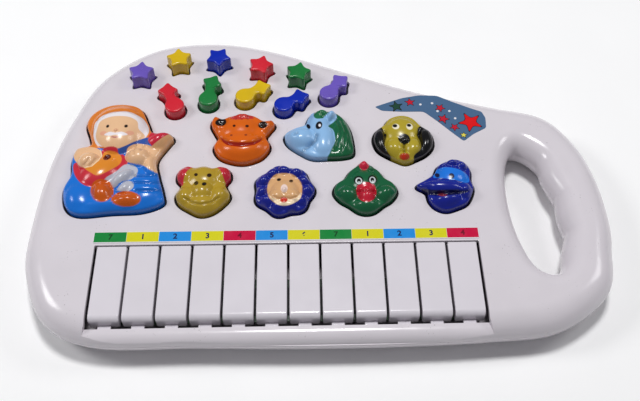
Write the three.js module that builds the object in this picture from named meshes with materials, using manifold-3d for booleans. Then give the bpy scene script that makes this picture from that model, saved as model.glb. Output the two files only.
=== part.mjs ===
// Toy electronic keyboard with twelve keys, picture buttons and a carrying handle.
// Millimetres. X runs to the right along the keys, Y to the back, Z up. The origin is on the
// surface that the toy stands on, under the middle of the casing.
import * as THREE from "three";
import { mergeVertices } from "three/addons/utils/BufferGeometryUtils.js";
import Module from "manifold-3d";

const wasm = await Module();
wasm.setup();

// ---- driving dimensions -------------------------------------------------------------------
const FLOOR = 1.5; // underside of the casing, held up by the feet
const SEAM = 17.5; // where the two halves of the casing meet
const DECK = 30; // flat top of the casing
const WALL = 2.2; // thickness of the moulding
const GAP = 0.3; // clearance between pieces that touch
const TOP_LEAN = 15; // how far the top edge rounds inwards
const BOTTOM_LEAN = 16; // how far the bottom edge rounds inwards
const GRIP_TOP_LEAN = 12; // the same around the handle opening
const GRIP_BOTTOM_LEAN = 13;

const KEY_COUNT = 12;
const KEY_PITCH = 19;
const KEY_WIDTH = 17.5;
const KEY_TOP = 29;
const KEY_DEPTH = 9;
const KEY_BACK = -56.3; // rear end of the part of a key that shows
const KEY_FRONT = -105.3;
const PIVOT = { y: -52, z: 24, radius: 1.5 };
const KEYS_MIDDLE = -21.6;
const KEYS_LEFT = KEYS_MIDDLE - (KEY_COUNT * KEY_PITCH) / 2;
const KEYS_RIGHT = KEYS_LEFT + KEY_COUNT * KEY_PITCH;
const SLOT_MARGIN = (KEY_PITCH - KEY_WIDTH) / 2;
const SLOT_BACK = -55.8;
// Step in front of the keys: its flat, its rounded nose and the flare of its two ends.
const LIP = { back: -106.8, front: -119, top: 24, bottom: 22.3, flare: 4 };
const TAB = { width: 6.5, reach: 4, top: 22, bottom: 20 }; // stop tab under a key's front edge
const KEY_WALL = 1.5;
const KEY_FOOT = { y0: -87, y1: -83, halfWidth: 2, drop: 5 }; // presses the contact mat
const ROD_SEAT = { length: 4, half: 4 };
const LABEL = { back: -46.7, front: -54.4, thickness: 0.4 };

const FLANGE = { bottom: 25.3, top: 26.9, reach: 2.1 }; // holds a button in under the deck
const BUTTON_CLEARANCE = 1.3; // gap between a button and its hole
const STAR_REACH = 8.4; // from a star's middle to its tips
const STAR_NOTCH = 0.66; // the notches between the tips, as a share of that
const NOTE = { radius: 6.3, neckHalf: 3, tailReach: 6.8, tailTips: 4, tailTurn: -18 };
const MANE = { radius: 18, lobes: 7, swell: 0.9 };
const BOARD = { bottom: 20.8, top: 22.2 };
const MAT = { bottom: 22.5, sheet: 22.9, dome: 23.5 };

const CELL = { radius: 7.25, length: 48.5, pitch: 15, z: 11.4 };
const BAY = { x0: 13, x1: 72, y0: 8.5, y1: 54.5, roof: 19.2, wall: 1.2 };
const BAY_MIDDLE = (BAY.y0 + BAY.y1) / 2;
// Battery door: a plate with two tabs at its left end and a screw at its right end.
const DOOR = { x0: 12.1, x1: 80.2, top: 3, tabLength: 3.1, tabWidth: 6, tabBottom: 3, tabTop: 3.5 };
const DOOR_TABS = [-12, 12];
const DOOR_SCREW_X = 76.3;
const CONTACT = { x0: 13.3, x1: 71.7, thickness: 0.5, z0: 5, z1: 17.5 };
const SPEAKER = { x: -110, y: 45, radius: 20, bottom: 4, top: 17 };
const GRILLE = { rows: [-10, -5, 0, 5, 10], halfLength: 12, halfWidth: 1.2 };
const SWITCH = { x: -60, y: -30, travel: 6.4, knobHalf: 2.5, knobHalfWidth: 2.2 };
const SWITCH_CASE = { halfLength: 9, halfWidth: 5, z0: 5.4, z1: 12 };
// Radii of the casing screws and of what holds them.
const SCREW = { shank: 1.3, head: 2.8, boss: 3.4, pilot: 1.6, post: 4.8, hole: 1.8, headHole: 3.2 };
const SCREWS = [[-156, -60], [112, -93], [101, 12], [-22, 91], [-152, 50]];
const FEET = [[-138, -84], [90, -88], [92, 28], [-130, 66]];
const FOOT = { radius: 7, top: 2.1 };

// Plan outline of the casing at the seam, anticlockwise.
const CASING = [
  [179.5, -37], [177.5, -6], [169, 22.5], [150.5, 46], [115, 56.5], [65, 71],
  [15, 91], [-35, 110.5], [-75.5, 117.5], [-116.5, 110.5], [-150, 83], [-166.5, 45],
  [-175.8, 5.5], [-179.1, -35], [-177.6, -68], [-162, -101], [-131, -115], [-75.5, -116],
  [-20.5, -117.4], [39.5, -117.4], [95, -115.5], [136.5, -110.5], [168.5, -88], [177, -58.5],
];
// Handle opening without its finger bumps, anticlockwise.
const GRIP = [
  [149.8, -50], [150, -34], [148.5, -18], [145, -4], [140, 10], [128, 18.5],
  [120.7, 7], [118, -11], [118, -32], [121.5, -54], [129, -71.5], [141.5, -73.5],
];
const FINGER = { pitch: 27, first: -19, depth: 1.6 };

// ---- small helpers ------------------------------------------------------------------------
const at = (points) => points.map(([x, y]) => new THREE.Vector2(x, y));
const moved = (ring, x, y) => ring.map((p) => new THREE.Vector2(p.x + x, p.y + y));
const scaled = (ring, s) => ring.map((p) => p.clone().multiplyScalar(s));

// A closed smooth ring through the given points, with a few samples on each span.
function smooth(points, perSpan) {
  const corners = points.map(([x, y]) => new THREE.Vector3(x, y, 0));
  const curve = new THREE.CatmullRomCurve3(corners, true, "catmullrom", 0.5);
  const count = points.length * perSpan;
  return Array.from({ length: count }, (_, i) => {
    const p = curve.getPoint(i / count);
    return new THREE.Vector2(p.x, p.y);
  });
}

// Moves every point of an anticlockwise ring outwards, or inwards where the amount is negative.
function outset(ring, amount) {
  return ring.map((p, i) => {
    const before = ring[(i + ring.length - 1) % ring.length];
    const after = ring[(i + 1) % ring.length];
    const along = after.clone().sub(before).normalize();
    return new THREE.Vector2(p.x + along.y * amount, p.y - along.x * amount);
  });
}

// Turns a closed triangle mesh into a solid.
function solid(geometry) {
  const bare = geometry.index ? geometry.toNonIndexed() : geometry.clone();
  bare.deleteAttribute("normal");
  bare.deleteAttribute("uv");
  const merged = mergeVertices(bare, 1e-4);
  return new wasm.Manifold(new wasm.Mesh({
    numProp: 3,
    vertProperties: merged.attributes.position.array,
    triVerts: new Uint32Array(merged.index.array),
  }));
}

// A solid through rings of equal point count, listed from the bottom up as [ring, z].
function loft(levels) {
  const count = levels[0][0].length;
  const positions = levels.flatMap(([ring, z]) => ring.flatMap((p) => [p.x, p.y, z]));
  const index = [];
  for (let level = 0; level + 1 < levels.length; level += 1) {
    for (let i = 0; i < count; i += 1) {
      const a = level * count + i;
      const b = level * count + ((i + 1) % count);
      index.push(a, b, b + count, a, b + count, a + count);
    }
  }
  const last = (levels.length - 1) * count;
  for (const [a, b, c] of THREE.ShapeUtils.triangulateShape(levels[0][0], [])) {
    index.push(a, c, b);
  }
  for (const [a, b, c] of THREE.ShapeUtils.triangulateShape(levels.at(-1)[0], [])) {
    index.push(last + a, last + b, last + c);
  }
  const geometry = new THREE.BufferGeometry();
  geometry.setAttribute("position", new THREE.Float32BufferAttribute(positions, 3));
  geometry.setIndex(index);
  return solid(geometry);
}

const slab = (ring, z0, z1) => loft([[ring, z0], [ring, z1]]);

function block(x0, x1, y0, y1, z0, z1) {
  const geometry = new THREE.BoxGeometry(x1 - x0, y1 - y0, z1 - z0);
  geometry.translate((x0 + x1) / 2, (y0 + y1) / 2, (z0 + z1) / 2);
  return solid(geometry);
}

// An upright round bar, or a cone where the two radii differ.
function bar(x, y, z0, z1, radius, sides = 10, topRadius = radius) {
  const geometry = new THREE.CylinderGeometry(topRadius, radius, z1 - z0, sides);
  geometry.rotateX(Math.PI / 2);
  geometry.translate(x, y, (z0 + z1) / 2);
  return solid(geometry);
}

// A round bar along X.
function axle(x0, x1, y, z, radius, sides = 10) {
  const geometry = new THREE.CylinderGeometry(radius, radius, x1 - x0, sides);
  geometry.rotateZ(Math.PI / 2);
  geometry.translate((x0 + x1) / 2, y, z);
  return solid(geometry);
}

// A bar along X whose section is a list of [y, z] points, anticlockwise seen from +X.
function profileBar(section, x0, x1) {
  const geometry = new THREE.ExtrudeGeometry(new THREE.Shape(at(section)), {
    depth: x1 - x0, bevelEnabled: false,
  });
  geometry.rotateX(Math.PI / 2);
  geometry.rotateZ(Math.PI / 2);
  geometry.translate(x0, 0, 0);
  return solid(geometry);
}

function join(pieces) {
  return pieces.reduce((whole, piece) => whole.add(piece));
}

function cut(whole, pieces) {
  return pieces.reduce((rest, piece) => rest.subtract(piece), whole);
}

const toy = new THREE.Group();
const material = (color, roughness, metalness = 0) =>
  new THREE.MeshStandardMaterial({ color, roughness, metalness });

// Adds a solid to the toy as one named mesh.
function part(name, body, look) {
  const { vertProperties, triVerts, numProp } = body.getMesh();
  const positions = new Float32Array((vertProperties.length / numProp) * 3);
  for (let i = 0; i < positions.length / 3; i += 1) {
    positions.set(vertProperties.subarray(i * numProp, i * numProp + 3), i * 3);
  }
  const geometry = new THREE.BufferGeometry();
  geometry.setAttribute("position", new THREE.BufferAttribute(positions, 3));
  geometry.setIndex(new THREE.BufferAttribute(triVerts, 1));
  geometry.computeVertexNormals();
  const mesh = new THREE.Mesh(geometry, look);
  mesh.name = name;
  toy.add(mesh);
}

const casingWhite = material(0xd9d5dc, 0.25);
const steel = material(0xb9bcc0, 0.35, 0.9);
const darkPlastic = material(0x2a2a2e, 0.5);

// ---- casing -------------------------------------------------------------------------------
const ARC = [0, 30, 60, 90].map(THREE.MathUtils.degToRad);
const casingRing = smooth(CASING, 2);

// The handle opening's ring, with finger bumps on its outer side that fade with the given share.
function gripRing(share) {
  return smooth(GRIP, 4).map((p) => {
    const side = THREE.MathUtils.smoothstep(p.x, 138, 145);
    const ends = THREE.MathUtils.smoothstep(p.y, -74, -60);
    const wave = Math.abs(Math.sin((Math.PI * (p.y - FINGER.first)) / FINGER.pitch));
    return new THREE.Vector2(p.x - FINGER.depth * wave * side * ends * share, p.y);
  });
}

// Rings that round an outline over from the seam towards the deck or the floor.
function rounding(ringAt, seam, end, lean, inset) {
  return ARC.map((angle) => {
    const amount = lean * (1 - Math.cos(angle));
    return [outset(ringAt(Math.cos(angle)), inset(amount)), seam + (end - seam) * Math.sin(angle)];
  });
}

function casingHalf(seam, end, lean, beyond, wall) {
  const levels = rounding(() => casingRing, seam, end, lean, (amount) => -amount - wall);
  if (wall > 0) levels.unshift([levels[0][0], beyond]);
  return loft(end > seam ? levels : levels.reverse());
}

function gripHalf(seam, end, lean, beyond, past, wall) {
  const levels = rounding(gripRing, seam, end, lean, (amount) => amount + wall);
  levels.unshift([levels[0][0], beyond]);
  levels.push([levels.at(-1)[0], past]);
  return loft(end > seam ? levels : levels.reverse());
}

// A fat star with rounded tips, one of which points along the turn in degrees.
function starRing(reach, turn, tips = 5) {
  const corners = Array.from({ length: 2 * tips }, (_, i) => {
    const angle = THREE.MathUtils.degToRad(turn) + (i * Math.PI) / tips;
    const r = i % 2 ? reach * STAR_NOTCH : reach;
    return [r * Math.cos(angle), r * Math.sin(angle)];
  });
  return smooth(corners, 2);
}

// A round ring whose radius swells and shrinks into the given number of lobes.
function lobedRing(radius, lobes, swell, count) {
  return Array.from({ length: count }, (_, i) => {
    const angle = (i / count) * 2 * Math.PI;
    const r = radius + swell * Math.cos(lobes * angle);
    return new THREE.Vector2(r * Math.cos(angle), r * Math.sin(angle));
  });
}

// How a button's top closes in, as [size, share of its rise] upwards from the deck.
const FLAT_TOP = [[1, 0.86], [0.9, 1]];
const DOMED_TOP = [[1, 0.3], [0.94, 0.6], [0.72, 0.9], [0.4, 1]];

// A button's top and the outlines that make it up, each a function of how far it is grown.
function starShape(turn) {
  const ringAt = (grow) => starRing(STAR_REACH + grow, turn);
  return { top: FLAT_TOP, outlines: [{ x: 0, y: 0, ringAt }] };
}

function animalShape(points) {
  const ring = smooth(points, 1);
  return { top: DOMED_TOP, outlines: [{ x: 0, y: 0, ringAt: (grow) => outset(ring, grow) }] };
}

function maneShape() {
  const ringAt = (grow) => lobedRing(MANE.radius + grow, MANE.lobes, MANE.swell, 28);
  return { top: DOMED_TOP, outlines: [{ x: 0, y: 0, ringAt }] };
}

// A round body with a short neck that ends in a small four-pointed star.
function noteShape(direction, distance) {
  const angle = THREE.MathUtils.degToRad(direction);
  const x = distance * Math.cos(angle);
  const y = distance * Math.sin(angle);
  const neck = (grow) => {
    const half = NOTE.neckHalf + grow;
    const corners = [[-5, -half], [5, -half], [5, half], [-5, half]];
    return at(corners).map((p) => p.rotateAround(new THREE.Vector2(), angle));
  };
  const tailTurn = direction + NOTE.tailTurn;
  const tail = (grow) => starRing(NOTE.tailReach + grow, tailTurn, NOTE.tailTips);
  const outlines = [
    { x: 0, y: 0, ringAt: (grow) => lobedRing(NOTE.radius + grow, 1, 0, 16) },
    { x: x / 2, y: y / 2, ringAt: neck },
    { x, y, ringAt: tail },
  ];
  return { top: FLAT_TOP, outlines };
}

const HIPPO = [
  [17, -5], [14.5, 2], [17, 7], [20, 12], [18, 15.5], [13, 15], [7, 19], [-1, 21], [-9, 19],
  [-14, 17], [-19, 19], [-21, 13], [-18, 6], [-16, 1], [-18.5, -6], [-15, -13], [-8, -17],
  [1, -18.5], [10, -15.5], [15, -10.5],
];
const HORSE = [
  [20, -11], [18.5, 2], [15, 11], [9, 17], [1, 18.5], [-6, 17], [-9, 12], [-11, 7], [-18, 4],
  [-24, -1], [-22, -8], [-14, -15], [-6, -19.5], [4, -19.5], [13, -19], [19, -17],
];
const DOG = [
  [19, -1], [17.5, 6], [12, 11], [7, 17.5], [0, 20], [-8, 17.5], [-12, 12], [-17.5, 7],
  [-19.5, 0], [-17, -8], [-11, -13], [-6, -16], [0, -18.5], [7, -15.5], [13, -12], [17.5, -7],
];
const PIG = [
  [16.5, -5], [13.5, 3], [16.5, 9], [15, 15], [10, 17], [5, 16], [0, 17.5], [-6, 16.5],
  [-11, 17.5], [-16, 14], [-16.5, 8], [-13.5, 3], [-16.5, -4], [-14.5, -10], [-8, -15],
  [-1, -18.5], [6, -17], [12.5, -11.5],
];
const ROOSTER = [
  [19.5, -1], [17.5, 5], [12.5, 9], [9, 14.5], [4.5, 18.5], [0, 22.5], [-4.5, 18.5],
  [-9, 14.5], [-12.5, 9], [-17.5, 5], [-19.5, -1], [-16, -7], [-10.5, -11], [-5, -15.5],
  [0, -16.8], [5, -15.5], [10.5, -11], [16, -7],
];
const DUCK = [
  [16.5, -3], [15.5, 4], [16, 12], [13, 17.5], [7, 20], [1, 18], [-4, 14.5], [-7, 8.5],
  [-13, 4], [-18.5, 0], [-13, -4.5], [-11.5, -11], [-8, -16], [-2, -18.5], [5, -16.5],
  [12, -12.5],
];
const MUSICIAN = [
  [32, -26], [28, -12], [26, 0], [32, 12], [34.5, 19], [30, 25.5], [20, 27], [17.5, 34],
  [12, 42], [2, 46], [-9, 45], [-18, 39], [-21.5, 30], [-18, 19], [-17, 12], [-25, 9],
  [-27, 0], [-26, -11], [-29, -22], [-26, -35], [-17, -40.5], [2, -39], [20, -38],
  [32, -33],
];

// Every picture button: its place on the deck, shape, height above the deck and colour.
const STAR_RISE = 10;
const NOTE_RISE = 7.5;
const ANIMAL_RISE = 10;
const MUSICIAN_RISE = 14;
const PURPLE = 0x6a4fb0;
const YELLOW = 0xc3a51e;
const BLUE = 0x1029a8;
const RED = 0xcf1f38;
const GREEN = 0x1f8040;
const OLIVE = 0xa8962a;
const BUTTONS = [
  ["star_button_purple", -120.6, 76.3, starShape(89), STAR_RISE, PURPLE],
  ["star_button_yellow", -96, 88.4, starShape(97), STAR_RISE, YELLOW],
  ["star_button_blue", -69.2, 89, starShape(60), STAR_RISE, BLUE],
  ["star_button_red", -40.2, 81.6, starShape(74), STAR_RISE, RED],
  ["star_button_green", -14.6, 75.1, starShape(78), STAR_RISE, GREEN],
  ["note_button_red", -96.3, 48, noteShape(113, 14), NOTE_RISE, RED],
  ["note_button_green", -74.7, 53.5, noteShape(82, 14.5), NOTE_RISE, GREEN],
  ["note_button_yellow", -50.4, 55.8, noteShape(34, 13), NOTE_RISE, YELLOW],
  ["note_button_blue", -24.6, 48, noteShape(32, 12.5), NOTE_RISE, BLUE],
  ["note_button_purple", 5.7, 57.8, noteShape(54, 13), NOTE_RISE, PURPLE],
  ["hippo_button", -50.6, 21.2, animalShape(HIPPO), ANIMAL_RISE, 0xdd6a14],
  ["horse_button", 0.4, 25.7, animalShape(HORSE), ANIMAL_RISE, 0x86b9dc],
  ["dog_button", 53.4, 20.2, animalShape(DOG), ANIMAL_RISE, OLIVE],
  ["pig_button", -74.1, -17.8, animalShape(PIG), ANIMAL_RISE, OLIVE],
  ["lion_button", -24.1, -18.8, maneShape(), ANIMAL_RISE, 0x141f7a],
  ["rooster_button", 26.4, -19.8, animalShape(ROOSTER), ANIMAL_RISE, 0x145c34],
  ["duck_button", 77.4, -16.8, animalShape(DUCK), ANIMAL_RISE, 0x13239a],
  ["musician_button", -130.6, 5.2, animalShape(MUSICIAN), MUSICIAN_RISE, 0xd98a4a],
].map(([name, x, y, shape, rise, color]) => ({ name, x, y, shape, rise, color }));

function topShell() {
  const outer = casingHalf(SEAM + GAP / 2, DECK, TOP_LEAN, 0, 0);
  const inner = casingHalf(SEAM, DECK - WALL, TOP_LEAN, SEAM - 1, WALL);
  const gripTube = gripHalf(SEAM + GAP / 2, DECK - WALL, GRIP_TOP_LEAN, SEAM + GAP / 4, DECK, WALL);
  const gripCut = gripHalf(SEAM, DECK, GRIP_TOP_LEAN, SEAM - 1, DECK + 1, 0);
  const lipBar = block(
    KEYS_LEFT - 8, KEYS_RIGHT + 8, LIP.front, LIP.back, LIP.bottom, LIP.top + 1,
  ).intersect(outer);
  const left = KEYS_LEFT - SLOT_MARGIN;
  const right = KEYS_RIGHT + SLOT_MARGIN;
  const slot = block(left, right, LIP.back, SLOT_BACK, SEAM - 2, DECK + 1);
  const section = [
    [LIP.back + 1, DECK + 1], [LIP.front, DECK + 1], [LIP.front, SEAM + 1.2], [-116.8, SEAM + 1.2],
    [-115.6, 21.4], [-112.8, 23.4], [-109.6, LIP.top], [LIP.back + 1, LIP.top],
  ];
  const recessPlan = at([
    [left, LIP.back + 1], [left - LIP.flare, LIP.front], [right + LIP.flare, LIP.front],
    [right, LIP.back + 1],
  ]);
  const recess = profileBar(section, left - 10, right + 10).intersect(slab(recessPlan, 0, DECK + 1));
  const holes = BUTTONS.flatMap((button) => button.shape.outlines.map((piece) => slab(
    moved(piece.ringAt(BUTTON_CLEARANCE), button.x + piece.x, button.y + piece.y),
    DECK - WALL - 1, DECK + 1,
  )));
  const bosses = join(SCREWS.map(([x, y]) => bar(x, y, SEAM - 1.5, DECK - 1, SCREW.boss)))
    .intersect(casingHalf(SEAM - 1.6, DECK, TOP_LEAN, 0, 0));
  const pilots = SCREWS.map(([x, y]) => bar(x, y, SEAM - 3, DECK - 4.5, SCREW.pilot, 8));
  const { length, half } = ROD_SEAT;
  const rodSeats = join([left - half - 0.75, right + 0.75].map((x) =>
    block(x, x + length, PIVOT.y - half, PIVOT.y + half, PIVOT.z - half, DECK - 1)));
  const rodBore = axle(KEYS_LEFT - 4, KEYS_RIGHT + 4, PIVOT.y, PIVOT.z, PIVOT.radius + GAP);
  const skin = cut(join([outer.subtract(inner), gripTube, lipBar, bosses, rodSeats]), [gripCut]);
  return cut(skin, [slot, recess, rodBore, ...holes, ...pilots]);
}

function bottomShell() {
  const outer = casingHalf(SEAM - GAP / 2, FLOOR, BOTTOM_LEAN, 0, 0);
  const inner = casingHalf(SEAM, FLOOR + WALL, BOTTOM_LEAN, SEAM + 1, WALL);
  const gripTube = gripHalf(
    SEAM - GAP / 2, FLOOR + WALL, GRIP_BOTTOM_LEAN, SEAM - GAP / 4, FLOOR, WALL,
  );
  const gripCut = gripHalf(SEAM, FLOOR, GRIP_BOTTOM_LEAN, SEAM + 1, FLOOR - 1, 0);
  const posts = SCREWS.map(([x, y]) => bar(x, y, FLOOR + 1, SEAM - 1.9, SCREW.post));
  const clearances = SCREWS.flatMap(([x, y]) => [
    bar(x, y, FLOOR - 1, 6.6, SCREW.headHole), bar(x, y, 6, SEAM, SCREW.hole, 8),
  ]);
  const { x0, x1, y0, y1, roof, wall } = BAY;
  const bay = block(x0 - wall, x1 + 9, y0 - wall, y1 + wall, FLOOR + 1, roof + wall);
  const bayHollow = block(x0, x1, y0, y1, FLOOR - 1, roof);
  const doorOpening = [
    block(DOOR.x0 - 0.6, DOOR.x1 + GAP, y0 - 1, y1 + 1, FLOOR - 1, FLOOR + WALL),
    bar(DOOR_SCREW_X, BAY_MIDDLE, FLOOR + 1, 5.6, 4.6),
    bar(DOOR_SCREW_X, BAY_MIDDLE, FLOOR + 1, 13, 2.4, 8),
    ...DOOR_TABS.map((dy) => block(
      DOOR.x0 - DOOR.tabLength - 0.6, x0 + 1, BAY_MIDDLE + dy - DOOR.tabWidth / 2 - GAP,
      BAY_MIDDLE + dy + DOOR.tabWidth / 2 + GAP, FLOOR + 0.6, FLOOR + WALL + 0.6,
    )),
  ];
  const grille = GRILLE.rows.map((dy) => block(
    SPEAKER.x - GRILLE.halfLength, SPEAKER.x + GRILLE.halfLength,
    SPEAKER.y + dy - GRILLE.halfWidth, SPEAKER.y + dy + GRILLE.halfWidth, FLOOR - 1, 5,
  ));
  const slotHalf = (SWITCH.travel / 2) + SWITCH.knobHalf + 0.7;
  const slotHalfWidth = SWITCH.knobHalfWidth + 0.6;
  const knobSlot = block(
    SWITCH.x - slotHalf, SWITCH.x + slotHalf, SWITCH.y - slotHalfWidth,
    SWITCH.y + slotHalfWidth, FLOOR - 1, 5,
  );
  const footSeats = FEET.map(([x, y]) =>
    bar(x, y, FLOOR - 1, FOOT.top + GAP, FOOT.radius + 0.4, 16));
  const skin = cut(join([outer.subtract(inner), gripTube]), [gripCut]);
  return cut(join([skin, bay, join(posts).intersect(outer)]), [
    bayHollow, ...doorOpening, ...clearances, ...grille, knobSlot, ...footSeats,
  ]);
}

part("top_shell", topShell(), casingWhite);
part("bottom_shell", bottomShell(), casingWhite);

// ---- keys ---------------------------------------------------------------------------------
function key(left) {
  const right = left + KEY_WIDTH;
  const bottom = KEY_TOP - KEY_DEPTH;
  const side = [
    [KEY_BACK, KEY_TOP - 0.4], [KEY_BACK - 0.6, KEY_TOP], [KEY_FRONT + 3, KEY_TOP],
    [KEY_FRONT + 1.2, KEY_TOP - 0.6], [KEY_FRONT + 0.3, KEY_TOP - 2], [KEY_FRONT, KEY_TOP - 4],
    [KEY_FRONT, bottom], [-56, bottom], [-48.5, bottom + 1], [-48.5, 27.2], [KEY_BACK, 27.2],
  ];
  const middle = (left + right) / 2;
  const hollow = block(
    left + KEY_WALL, right - KEY_WALL, KEY_FRONT + 1.8, -58, bottom - 1, KEY_TOP - 2,
  );
  const tab = block(
    middle - TAB.width / 2, middle + TAB.width / 2, KEY_FRONT - TAB.reach, KEY_FRONT + 1,
    TAB.bottom, TAB.top,
  );
  const plunger = block(
    middle - KEY_FOOT.halfWidth, middle + KEY_FOOT.halfWidth, KEY_FOOT.y0, KEY_FOOT.y1,
    bottom - KEY_FOOT.drop, KEY_TOP - 1,
  );
  const bore = axle(left - 1, right + 1, PIVOT.y, PIVOT.z, PIVOT.radius + GAP, 8);
  return join([profileBar(side, left, right).subtract(hollow), tab, plunger]).subtract(bore);
}

for (let i = 0; i < KEY_COUNT; i += 1) {
  const name = `key_${String(i + 1).padStart(2, "0")}`;
  part(name, key(KEYS_LEFT + i * KEY_PITCH + SLOT_MARGIN), material(0xe4e1e8, 0.22));
}
part(
  "key_pivot_rod",
  axle(KEYS_LEFT - 3.5, KEYS_RIGHT + 3.5, PIVOT.y, PIVOT.z, PIVOT.radius, 8),
  steel,
);
part(
  "key_label_strip",
  block(KEYS_LEFT - 2, KEYS_RIGHT + 1.6, LABEL.front, LABEL.back, DECK, DECK + LABEL.thickness),
  material(0xd9d422, 0.2),
);
part(
  "key_contact_board",
  block(KEYS_LEFT, KEYS_RIGHT, -98, -70, 9, 10.6),
  material(0x2f6b3c, 0.5),
);
const keyDomes = Array.from({ length: KEY_COUNT }, (_, i) =>
  bar(KEYS_LEFT + (i + 0.5) * KEY_PITCH, (KEY_FOOT.y0 + KEY_FOOT.y1) / 2, 11, 12.5, 3, 8, 2.2));
part(
  "key_contact_mat",
  join([block(KEYS_LEFT + 2, KEYS_RIGHT - 2, -94, -76, 10.9, 11.5), ...keyDomes]),
  material(0x8a8d92, 0.8),
);

// ---- picture buttons ----------------------------------------------------------------------
for (const { name, x, y, shape, rise, color } of BUTTONS) {
  const body = join(shape.outlines.map((piece) => loft([
    [piece.ringAt(FLANGE.reach), FLANGE.bottom],
    [piece.ringAt(FLANGE.reach), FLANGE.top],
    [piece.ringAt(0), FLANGE.top],
    ...shape.top.map(([size, share]) => [scaled(piece.ringAt(0), size), DECK + rise * share]),
  ].map(([ring, z]) => [moved(ring, x + piece.x, y + piece.y), z]))));
  part(name, body, material(color, 0.2));
}

// Plan outline of the star sticker, clockwise.
const STICKER = [
  [36.5, 50.5], [45, 54], [55, 58], [67, 60.5], [79, 60], [90, 54], [100, 49], [108, 45.5],
  [109.5, 40], [108.5, 33], [100, 28], [93, 21.5], [86, 28], [78, 37], [69, 46], [55, 46],
  [41, 47],
];
part("star_sticker", slab(at(STICKER).reverse(), DECK, DECK + 0.3), material(0x4c6680, 0.3));

// ---- circuit board and rubber mat under the buttons ---------------------------------------
const boardPlan = at([
  [-158, -42], [92, -42], [92, 34], [60, 50], [8, 70], [-34, 86], [-75, 96], [-108, 90],
  [-136, 66], [-146, 36],
]);
part("circuit_board", slab(boardPlan, BOARD.bottom, BOARD.top), material(0x2f6b3c, 0.5));
const matDomes = BUTTONS.map(({ x, y }) => bar(x, y, MAT.bottom, MAT.dome, 3, 6, 2.4));
part(
  "keypad_mat",
  join([slab(outset(boardPlan, -3), MAT.bottom, MAT.sheet), ...matDomes]),
  material(0x8a8d92, 0.8),
);
part("control_chip", block(-30, -14, -20, -8, 18.6, BOARD.bottom - GAP), darkPlastic);

// ---- batteries ----------------------------------------------------------------------------
const CELL_ROWS = [-CELL.pitch, 0, CELL.pitch];
for (const [i, dy] of CELL_ROWS.entries()) {
  const x0 = BAY.x0 + 3;
  const can = axle(x0, x0 + CELL.length, BAY_MIDDLE + dy, CELL.z, CELL.radius, 12);
  const tip = axle(x0 + CELL.length - 1, x0 + CELL.length + 1.5, BAY_MIDDLE + dy, CELL.z, 2.7, 8);
  part(`battery_cell_${i + 1}`, can.add(tip), material(0x303236, 0.35));
}
const contact = (x) =>
  block(x, x + CONTACT.thickness, BAY.y0 + 1, BAY.y1 - 1, CONTACT.z0, CONTACT.z1);
const springs = CELL_ROWS.map((dy) =>
  axle(CONTACT.x0 + 0.3, CONTACT.x0 + 2.4, BAY_MIDDLE + dy, CELL.z, 3.4, 8));
part("battery_spring_contact", join([contact(CONTACT.x0), ...springs]), steel);
part("battery_plate_contact", contact(CONTACT.x1 - CONTACT.thickness), steel);

const doorPlate = block(DOOR.x0, DOOR.x1, BAY.y0 - 0.7, BAY.y1 + 0.7, FLOOR, DOOR.top);
const doorTabs = DOOR_TABS.map((dy) => block(
  DOOR.x0 - DOOR.tabLength, DOOR.x0 + 3, BAY_MIDDLE + dy - DOOR.tabWidth / 2,
  BAY_MIDDLE + dy + DOOR.tabWidth / 2, DOOR.tabBottom - 0.5, DOOR.tabTop,
));
const doorBoss = bar(DOOR_SCREW_X, BAY_MIDDLE, DOOR.top - 0.5, 5.2, 4);
part(
  "battery_door",
  cut(join([doorPlate, ...doorTabs, doorBoss]), [
    bar(DOOR_SCREW_X, BAY_MIDDLE, FLOOR - 1, 3.5, 2.8),
    bar(DOOR_SCREW_X, BAY_MIDDLE, 3, 6, 1.5, 8),
  ]),
  casingWhite,
);

// A pan-head screw that points up, with its drive slot underneath.
function screw(x, y, head, tip, headRadius, shankRadius) {
  const body = join([
    bar(x, y, head, head + 1.6, headRadius * 0.8, 10, headRadius),
    bar(x, y, head + 1.5, tip, shankRadius, 8),
  ]);
  return cut(body, [
    block(x - headRadius * 0.6, x + headRadius * 0.6, y - 0.35, y + 0.35, head - 1, head + 0.8),
  ]);
}
part("battery_door_screw", screw(DOOR_SCREW_X, BAY_MIDDLE, 1.6, 12, 2.4, 1.2), steel);
for (const [i, [x, y]] of SCREWS.entries()) {
  part(`case_screw_${i + 1}`, screw(x, y, 4.2, 24.5, SCREW.head, SCREW.shank), steel);
}

// ---- speaker, switch and feet -------------------------------------------------------------
const { x: speakerX, y: speakerY, radius: speakerRadius, bottom, top } = SPEAKER;
part(
  "speaker_frame",
  cut(
    join([
      bar(speakerX, speakerY, bottom, bottom + 2, speakerRadius, 20),
      bar(speakerX, speakerY, bottom + 1, top - 5, speakerRadius - 3, 20, speakerRadius - 9),
      bar(speakerX, speakerY, top - 6, top, speakerRadius - 8, 16),
    ]),
    [bar(speakerX, speakerY, bottom - 1, top - 6, speakerRadius - 3.4, 20, speakerRadius - 12)],
  ),
  darkPlastic,
);
part(
  "speaker_cone",
  bar(speakerX, speakerY, bottom + 0.6, bottom + 2.6, speakerRadius - 5.2, 20, speakerRadius - 7.5),
  material(0x1c1c1e, 0.9),
);
const restX = SWITCH.x - SWITCH.travel / 2;
part(
  "switch_body",
  block(
    SWITCH.x - SWITCH_CASE.halfLength, SWITCH.x + SWITCH_CASE.halfLength,
    SWITCH.y - SWITCH_CASE.halfWidth, SWITCH.y + SWITCH_CASE.halfWidth,
    SWITCH_CASE.z0, SWITCH_CASE.z1,
  ).subtract(block(SWITCH.x - 5.2, SWITCH.x + 5.2, SWITCH.y - 1.7, SWITCH.y + 1.7, 5, 9.4)),
  darkPlastic,
);
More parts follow.
